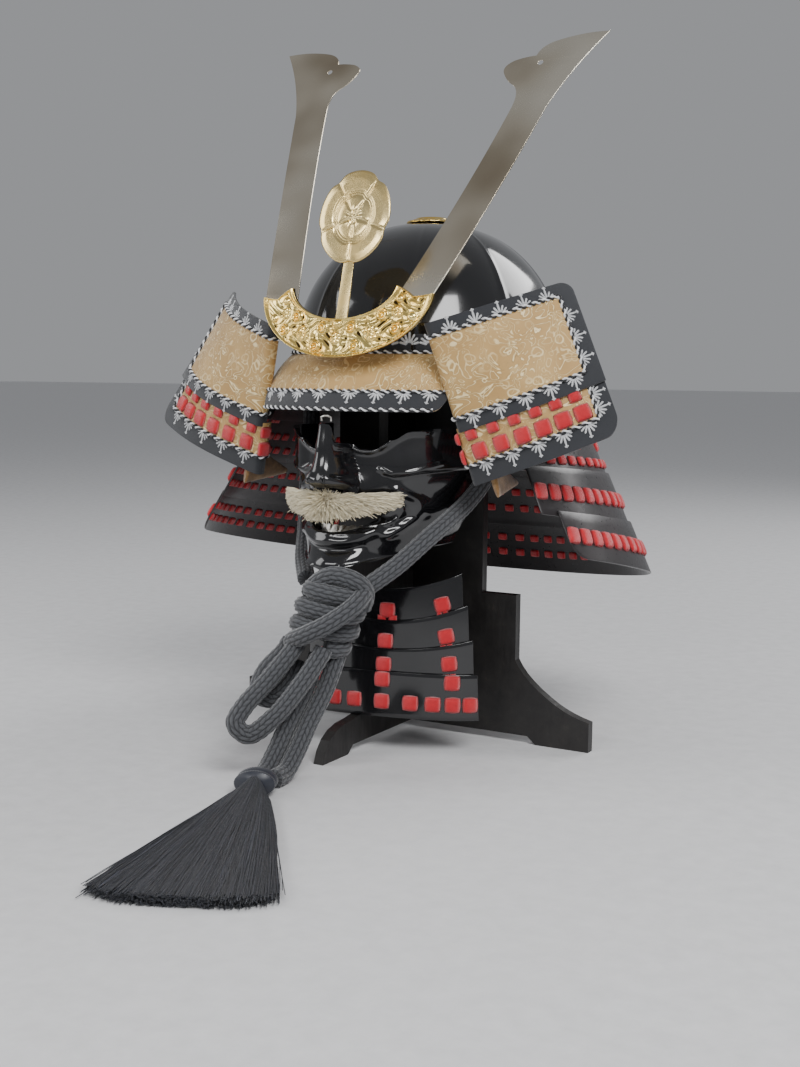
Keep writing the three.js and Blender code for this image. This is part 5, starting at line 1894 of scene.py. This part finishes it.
# raised folds of the mask: their lines on the right of the face, how high and how wide they are
MASK_FOLDS = [
    ([(46, -100, 229), (56, -91, 220), (57, -88, 212), (50, -98, 199), (41, -104, 191)], 2.4, 3.2),
    ([(41, -108, 224), (47, -104, 216), (47, -104, 209), (42, -109, 202)], 1.6, 2.4),
    ([(34, -110, 246), (46, -103, 241), (60, -91, 245), (72, -67, 250)], 1.3, 1.6),
    ([(36, -106, 264), (54, -95, 276), (66, -80, 277)], 1.4, 2.2),
    ([(9, -134, 265), (18, -128, 261), (30, -118, 261), (40, -108, 267)], 1.5, 2.0),
    ([(0, -141, 197), (14, -138, 198), (26, -130, 203), (34, -119, 209), (38, -112, 213)], -1.6, 2.6),
    ([(0, -143, 186.5), (12, -141, 186), (24, -134, 189), (33, -124, 195)], 2.2, 4.2),
    ([(0, -138, 179.5), (14, -136, 180), (26, -128, 183)], -1.6, 3.0),
    ([(0, -148, 169), (10, -146, 169), (20, -140, 172)], 2.2, 7.0),
    ([(14, -140, 164.6), (34, -126, 170), (50, -104, 174), (60, -80, 180)], 1.8, 2.0),
    ([(7, -139, 240), (12.5, -134, 237), (16.5, -130, 233), (15.5, -129, 228)], 2.6, 3.6),
]


def mask_relief(u, v):
    point = mask_base(u, v)
    half = point.copy()
    half[..., 0] = np.abs(half[..., 0])
    rise = np.zeros(point.shape[:-1])
    for line, high, wide in MASK_FOLDS:
        rise += high * gauss(distance_to(half[..., [0, 2]], np.array(curve_points(line, 24))[:, [0, 2]]),
                             wide)
    return point + normal_of(mask_base, u, v, 1) * rise[..., None]


def make_mask():
    half = MASK["mouth"]
    mouth = np.vstack([quadratic((-half, 210), (-28, 194.5), (0, 194), 60),
                       quadratic((0, 194), (28, 194.5), (half, 210), 60),
                       quadratic((half, 210), (0, 218), (-half, 210), 120)])
    ring = np.linspace(0, 2 * np.pi, 60, endpoint=False)
    nostrils = [np.stack([side * 9.5 + 4.6 * np.cos(ring), 226.5 + 3.6 * np.sin(ring)], 1) for side in (-1,
                                                            1)]
    inner = lambda u, v: mask_base(u, v) - normal_of(mask_base, u, v, 1) * 2.2
    mask = shell("face_mask", mask_relief, 260, 160, MASK["wall"], LOOKS["lacquer"], 1, False, (260, 120),
                 0, back=inner,
                 openings=[mouth, *nostrils])
    mask.data.set_sharp_from_angle(angle=math.radians(60))
    fitted(mask, "lacquer", "mask")


def make_throat_guard():
    for index in range(4):
        lame = shell(f"throat_plate_{index + 1}", throat_surface(index), 120, 10, THROAT["wall"],
                     LOOKS["lacquer"], -1, False,
                     (190, 40), 0.0005)
        fitted(lame, "lacquer", f"throat_lame_{index + 1}")


# ---------- silk on the throat guard ----------
# stations round the lowest plate, in nine; plate, height share and stations
THROAT_KNOTS = [(3, 0.66, range(9)), (3, 0.18, (1, 4, 7)), (2, 0.48, (1, 4, 7)), (1, 0.55, (4, 1, 7)),
                (0, 0.60, (4, 1, 7))]
THROAT_STRIPS = [(0, 1.0, (1, 4, 7)), (1, 1.0, (1, 4, 7)), (2, 1.0, (1, 4, 7))]


def make_throat_silk():
    spots = []
    for index, v, stations in THROAT_KNOTS:
        surface = throat_surface(index)
        for k in stations:
            spot, across, _, normal = facing(surface, mix(0.06, 0.94, k / 8), v, -1, 0.1)
            spots.append((spot, across, normal, (1, 1, 1)))
    knots_at("throat_squares", spots, 14.6, 14.0, 3.0)
    strips = []
    for index, v, stations in THROAT_STRIPS:
        surface = throat_surface(index)
        for k in stations:
            for aside in (-0.022, 0.022):
                middle = mix(0.06, 0.94, k / 8) + aside
                patch = part_of(surface, (middle - 0.019, middle + 0.019), (0.74, 1.12))
                strips.append(lace_on(patch, 6, 6, 0.2, 1.6, (6, 14), None))
    fitted(joined("throat_strips", strips), "braid")


# ---------- moustache, ear flaps and what stays from the solids ----------
def make_moustache():
    rng = np.random.default_rng(5)
    count, steps = chosen_sizes().bristles, 6
    s = rng.uniform(-1, 1, count)
    angle = rng.uniform(-0.5 * np.pi, 1.5 * np.pi, count)
    depth = np.sqrt(rng.uniform(0.25, 1, count))
    tall = 8.6 * (1 - 0.45 * np.abs(s) ** 6) * depth
    root = np.stack([54 * s * 0.9, -143 + 29.5 * (0.9 * s) ** 2 + 4.4 * np.cos(angle) * depth,
                     218.7 + 5.5 * (0.9 * s) ** 2 + tall * np.sin(angle) * 0.8], 1)
    way = np.stack([1.25 * np.tanh(2.6 * s) + rng.normal(0, 0.12, count),
                    -0.30 * np.cos(s * 1.5) + 0.9 * s ** 2 + rng.normal(0, 0.06, count),
                    0.30 * np.sin(angle) - 0.12 + rng.normal(0, 0.07, count)], 1)
    long = rng.uniform(6, 13, count) * (1 - 0.15 * np.abs(s))
    stray = rng.uniform(0, 1, count) > 0.985
    long = np.where(stray, long * 1.5, long)
    t = np.linspace(0, 1, steps)
    bend = np.stack([np.zeros(count), 0.08 * np.ones(count), -0.10 * np.ones(count)], 1)
    lines = root[:, None] + unit(way)[:, None] * (long[:, None] * t)[..., None] + bend[:,
                                                            None] * (long[:, None] * t ** 2)[..., None]
    lines[..., 0] = np.clip(lines[..., 0], -60, 60)
    tint = rng.uniform(0.2, 1, count)
    fitted(strands("moustache_bristles", placed(lines), 0.00026, LOOKS["fur"], 3, tint,
                   np.linspace(1, 0.4, steps)), "fur", "moustache")


def make_ear_flaps():
    def surface(u, v):
        angle = 2 * np.pi * v
        tall = mix(20, 3, u)
        lean = 0.25 * np.sin(angle) * tall
        return stack(122 - lean + 3 * np.cos(angle) - 4 * u, mix(-80, -28, u),
                     243 - 9 * u + tall * np.sin(angle) * 0.9)
    rings = [placed(surface(np.full(48, u), np.arange(48) / 48)) for u in np.linspace(0, 1, 40)]
    points = np.vstack(rings + [[rings[0].mean(0)], [rings[-1].mean(0)]])
    last = 40 * 48
    faces = quads(48, 39, True)
    for k in range(48):
        faces.append(((k + 1) % 48, k, last))
        faces.append((last - 48 + k, last - 48 + (k + 1) % 48, last + 1))
    left = outwards(piece_of("suede_flap_left", mesh_from("suede_flap_left", points, faces, points[:,
                                                            1:] * 1.0), LOOKS["suede"]))
    right = mirrored(left, "suede_flap_right")
    for side, piece in (("left", left), ("right", right)):
        fitted(piece, "suede", f"ear_flap_{side}")


KEPT_NODES = {"teeth": "silver", "brow_hook": "silver", "crest_bracket": "gold", "stand_cross_board": "board",
              "stand_spine_board": "board"}


def dress_nodes():
    for node, look in KEPT_NODES.items():
        solid = frame["nodes"][node]
        solid.data.materials.clear()
        solid.data.materials.append(LOOKS[look])


# ---------- the camera, the floor and the lights ----------
CAMERA = {"place": (606.8, -1116.47, 321.8), "azimuth": 29.46, "elevation": 6.49, "roll": 0.5735,
          "lens": 46.36}


def make_camera():
    data = bpy.data.cameras.new("camera")
    camera = bpy.data.objects.new("camera", data)
    bpy.context.scene.collection.objects.link(camera)
    data.lens = CAMERA["lens"]
    data.sensor_width = 36.0
    data.sensor_fit = "AUTO"
    azimuth, elevation, roll = (math.radians(CAMERA[key]) for key in ("azimuth", "elevation", "roll"))
    forward = Vector((-math.sin(azimuth) * math.cos(elevation), math.cos(azimuth) * math.cos(elevation),
                      -math.sin(elevation)))
    right = Vector((math.cos(azimuth), math.sin(azimuth), 0.0))
    up = right.cross(forward)
    turned = right * math.cos(roll) + up * math.sin(roll)
    up = turned.cross(forward)
    camera.matrix_world = Matrix.Translation(Vector(CAMERA["place"]) * MM) @ Matrix((turned, up,
                                                            -forward)).transposed().to_4x4()
    data.clip_start, data.clip_end = 0.02, 120.0
    bpy.context.scene.camera = camera


def lamp(name, place, aim, size, power, color=(1, 1, 1)):
    data = bpy.data.lights.new(name, "AREA")
    data.shape = "RECTANGLE"
    data.size, data.size_y = size
    data.energy = power
    data.color = color
    light = bpy.data.objects.new(name, data)
    bpy.context.scene.collection.objects.link(light)
    light.location = place
    light.rotation_euler = (Vector(aim) - Vector(place)).to_track_quat("-Z", "Y").to_euler()
    light.visible_camera = False


def make_stage():
    mesh = bpy.data.meshes.new("floor")
    reach = 40.0
    mesh.from_pydata([(-reach, -reach, 0), (reach, -reach, 0), (reach, reach, 0), (-reach, reach, 0)], [],
                     [(0, 1, 2, 3)])
    piece_of("floor", mesh, plain_finish("pale_floor", (0.80, 0.80, 0.81), 0.7, 60.0))
    world = bpy.data.worlds.new("studio")
    bpy.context.scene.world = world
    world.use_nodes = True
    back = world.node_tree.nodes["Background"]
    back.inputs["Color"].default_value = (0.50, 0.51, 0.53, 1)
    back.inputs["Strength"].default_value = 0.62
    lamp("key", (1.5, -1.3, 1.9), (0, 0, 0.35), (1.3, 0.9), 52.0)
    lamp("front_strip", (-0.2, -2.4, 1.3), (0, 0, 0.35), (1.6, 0.35), 15.0)
    lamp("fill", (-1.9, -1.1, 1.1), (0, 0, 0.3), (1.0, 1.5), 17.0)
    lamp("rim", (0.9, 1.9, 1.7), (0, 0, 0.35), (1.4, 0.9), 22.0)


# ---------- sizes and colours that a user may change ----------
class KabutoSizes(bpy.types.PropertyGroup):
    """Sizes of what is repeated on the helmet."""

    fan_pitch: FloatProperty(name="Fan Pitch", description="How far apart the embroidered fans stand",
                             default=0.022,
                             min=0.01, unit="LENGTH")
    lace_pitch: FloatProperty(name="Lace Pitch",
                              description="How far apart the lace knots stand on the neck guard",
                              default=0.015, min=0.008, unit="LENGTH")
    tassel_threads: IntProperty(name="Tassel Threads", description="How many threads the tassel has",
                                default=3400, min=100)
    bristles: IntProperty(name="Bristles", description="How many bristles the moustache has", default=7000,
                          min=100)


def color_choice(name, default):
    return FloatVectorProperty(name=name, description=f"{name}, as a linear colour", default=default,
                               min=0.0, max=1.0, size=3, subtype="COLOR")


class KabutoColors(bpy.types.PropertyGroup):
    """Colours of the silk, the embroidery and the plating, each with its shade: a darker tone that varies the colour at
    random, and on the silk and the thread also the painted shade in the grooves between the ribs.
    """

    red_silk: color_choice("Red Silk", (0.88, 0.022, 0.036))
    red_silk_shade: color_choice("Red Silk Shade", (0.56, 0.008, 0.016))
    white_thread: color_choice("White Thread", (0.95, 0.96, 0.97))
    white_thread_shade: color_choice("White Thread Shade", (0.78, 0.79, 0.81))
    black_thread: color_choice("Black Thread", (0.02, 0.02, 0.024))
    black_thread_shade: color_choice("Black Thread Shade", (0.004, 0.004, 0.005))
    bright_gold: color_choice("Bright Gold", (1.0, 0.76, 0.27))
    bright_gold_shade: color_choice("Bright Gold Shade", (0.90, 0.55, 0.12))
    pale_gold: color_choice("Pale Gold", (0.93, 0.74, 0.36))
    pale_gold_shade: color_choice("Pale Gold Shade", (0.80, 0.57, 0.22))


class Piece:
    """What the operators share: they can be undone, and they raise if a piece fails."""

    bl_options = {"REGISTER", "UNDO"}


class KABUTO_OT_finishes(Piece, bpy.types.Operator):
    """Mix the lacquer, cloth, silk, metal, cord and board finishes, and plant the node trees"""

    bl_idname = "kabuto.finishes"
    bl_label = "Mix Finishes"

    def execute(self, context):
        mix_finishes()
        plant_trees()
        return {"FINISHED"}


class KABUTO_OT_camera(Piece, bpy.types.Operator):
    """Set the camera in front of the helmet, to its left"""

    bl_idname = "kabuto.camera"
    bl_label = "Camera"

    def execute(self, context):
        make_camera()
        return {"FINISHED"}


class KABUTO_OT_cord(Piece, bpy.types.Operator):
    """Braid the chin cord, its knot, its bow loops and its tails"""

    bl_idname = "kabuto.cord"
    bl_label = "Chin Cord"

    def execute(self, context):
        make_cords()
        return {"FINISHED"}


class KABUTO_OT_tassel(Piece, bpy.types.Operator):
    """Lay the tassel's threads on the floor, in their bound head"""

    bl_idname = "kabuto.tassel"
    bl_label = "Tassel"

    def execute(self, context):
        make_tassel()
        return {"FINISHED"}


class KABUTO_OT_bowl(Piece, bpy.types.Operator):
    """Make the ridged bowl, its embroidered band and its top rosette"""

    bl_idname = "kabuto.bowl"
    bl_label = "Bowl"

    def execute(self, context):
        make_bowl()
        return {"FINISHED"}


class KABUTO_OT_visor(Piece, bpy.types.Operator):
    """Make the brocade visor with its embroidered edge"""

    bl_idname = "kabuto.visor"
    bl_label = "Visor"

    def execute(self, context):
        make_visor()
        return {"FINISHED"}


class KABUTO_OT_neck_guard(Piece, bpy.types.Operator):
    """Make the four neck plates"""

    bl_idname = "kabuto.neck_guard"
    bl_label = "Neck Guard"

    def execute(self, context):
        make_neck_guard()
        return {"FINISHED"}


class KABUTO_OT_wings(Piece, bpy.types.Operator):
    """Make the turned-back wings with their brocade, borders and knots"""

    bl_idname = "kabuto.wings"
    bl_label = "Wings"

    def execute(self, context):
        make_wings()
        return {"FINISHED"}


class KABUTO_OT_horns(Piece, bpy.types.Operator):
    """Make the two flat horns"""

    bl_idname = "kabuto.horns"
    bl_label = "Horns"

    def execute(self, context):
        make_horns()
        return {"FINISHED"}


class KABUTO_OT_crescent(Piece, bpy.types.Operator):
    """Make the chased gold crescent that carries the horns"""

    bl_idname = "kabuto.crescent"
    bl_label = "Crescent"

    def execute(self, context):
        make_crescent()
        return {"FINISHED"}


class KABUTO_OT_crest_plate(Piece, bpy.types.Operator):
    """Make the five-lobed crest plate on its stem"""

    bl_idname = "kabuto.crest_plate"
    bl_label = "Crest Plate"

    def execute(self, context):
        make_crest_plate()
        return {"FINISHED"}


class KABUTO_OT_mask(Piece, bpy.types.Operator):
    """Make the lacquered half mask"""

    bl_idname = "kabuto.mask"
    bl_label = "Mask"

    def execute(self, context):
        make_mask()
        return {"FINISHED"}


class KABUTO_OT_throat_guard(Piece, bpy.types.Operator):
    """Make the four throat plates"""

    bl_idname = "kabuto.throat_guard"
    bl_label = "Throat Guard"

    def execute(self, context):
        make_throat_guard()
        return {"FINISHED"}


class KABUTO_OT_lacing(Piece, bpy.types.Operator):
    """Lace the neck plates with red silk, outside and inside"""

    bl_idname = "kabuto.lacing"
    bl_label = "Lacing"

    def execute(self, context):
        make_lacing()
        return {"FINISHED"}


class KABUTO_OT_throat_silk(Piece, bpy.types.Operator):
    """Tie the red squares and strips on the throat guard"""

    bl_idname = "kabuto.throat_silk"
    bl_label = "Throat Silk"

    def execute(self, context):
        make_throat_silk()
        return {"FINISHED"}


class KABUTO_OT_moustache(Piece, bpy.types.Operator):
    """Grow the cream moustache of the mask"""

    bl_idname = "kabuto.moustache"
    bl_label = "Moustache"

    def execute(self, context):
        make_moustache()
        return {"FINISHED"}


class KABUTO_OT_ear_flaps(Piece, bpy.types.Operator):
    """Make the suede flaps at the ears"""

    bl_idname = "kabuto.ear_flaps"
    bl_label = "Ear Flaps"

    def execute(self, context):
        make_ear_flaps()
        return {"FINISHED"}


class KABUTO_OT_kept_solids(Piece, bpy.types.Operator):
    """Give the stand, teeth, hook and bracket their finishes"""

    bl_idname = "kabuto.kept_solids"
    bl_label = "Stand and Fittings"

    def execute(self, context):
        dress_nodes()
        return {"FINISHED"}


class KABUTO_OT_stage(Piece, bpy.types.Operator):
    """Lay the pale floor and set the soft lights"""

    bl_idname = "kabuto.stage"
    bl_label = "Stage"

    def execute(self, context):
        make_stage()
        return {"FINISHED"}


OPERATORS = (KABUTO_OT_finishes, KABUTO_OT_camera, KABUTO_OT_cord, KABUTO_OT_tassel, KABUTO_OT_bowl,
             KABUTO_OT_visor,
             KABUTO_OT_neck_guard, KABUTO_OT_wings, KABUTO_OT_horns, KABUTO_OT_crescent,
             KABUTO_OT_crest_plate,
             KABUTO_OT_mask, KABUTO_OT_throat_guard, KABUTO_OT_lacing, KABUTO_OT_throat_silk,
             KABUTO_OT_moustache,
             KABUTO_OT_ear_flaps, KABUTO_OT_kept_solids, KABUTO_OT_stage)


class KABUTO_PT_pieces(bpy.types.Panel):
    """Lists the pieces of the helmet, and what may be changed about them"""

    bl_idname = "KABUTO_PT_pieces"
    bl_label = "Kabuto"
    bl_space_type = "VIEW_3D"
    bl_region_type = "UI"
    bl_category = "Kabuto"

    def draw(self, context):
        sizes = context.scene.kabuto_sizes
        for key in sizes.__annotations__:
            self.layout.prop(sizes, key)
        for operator in OPERATORS:
            self.layout.operator(operator.bl_idname)


CLASSES = (KabutoSizes, KabutoColors, *OPERATORS, KABUTO_PT_pieces)


def register():
    for each in CLASSES:
        bpy.utils.register_class(each)
    bpy.types.Scene.kabuto_sizes = PointerProperty(type=KabutoSizes)
    bpy.types.Scene.kabuto_colors = PointerProperty(type=KabutoColors)


def unregister():
    del bpy.types.Scene.kabuto_colors
    del bpy.types.Scene.kabuto_sizes
    for each in reversed(CLASSES):
        bpy.utils.unregister_class(each)


def main():
    register()
    for operator in OPERATORS:
        group, name = operator.bl_idname.split(".")
        getattr(getattr(bpy.ops, group), name)()


if __name__ == "__main__":
    main()
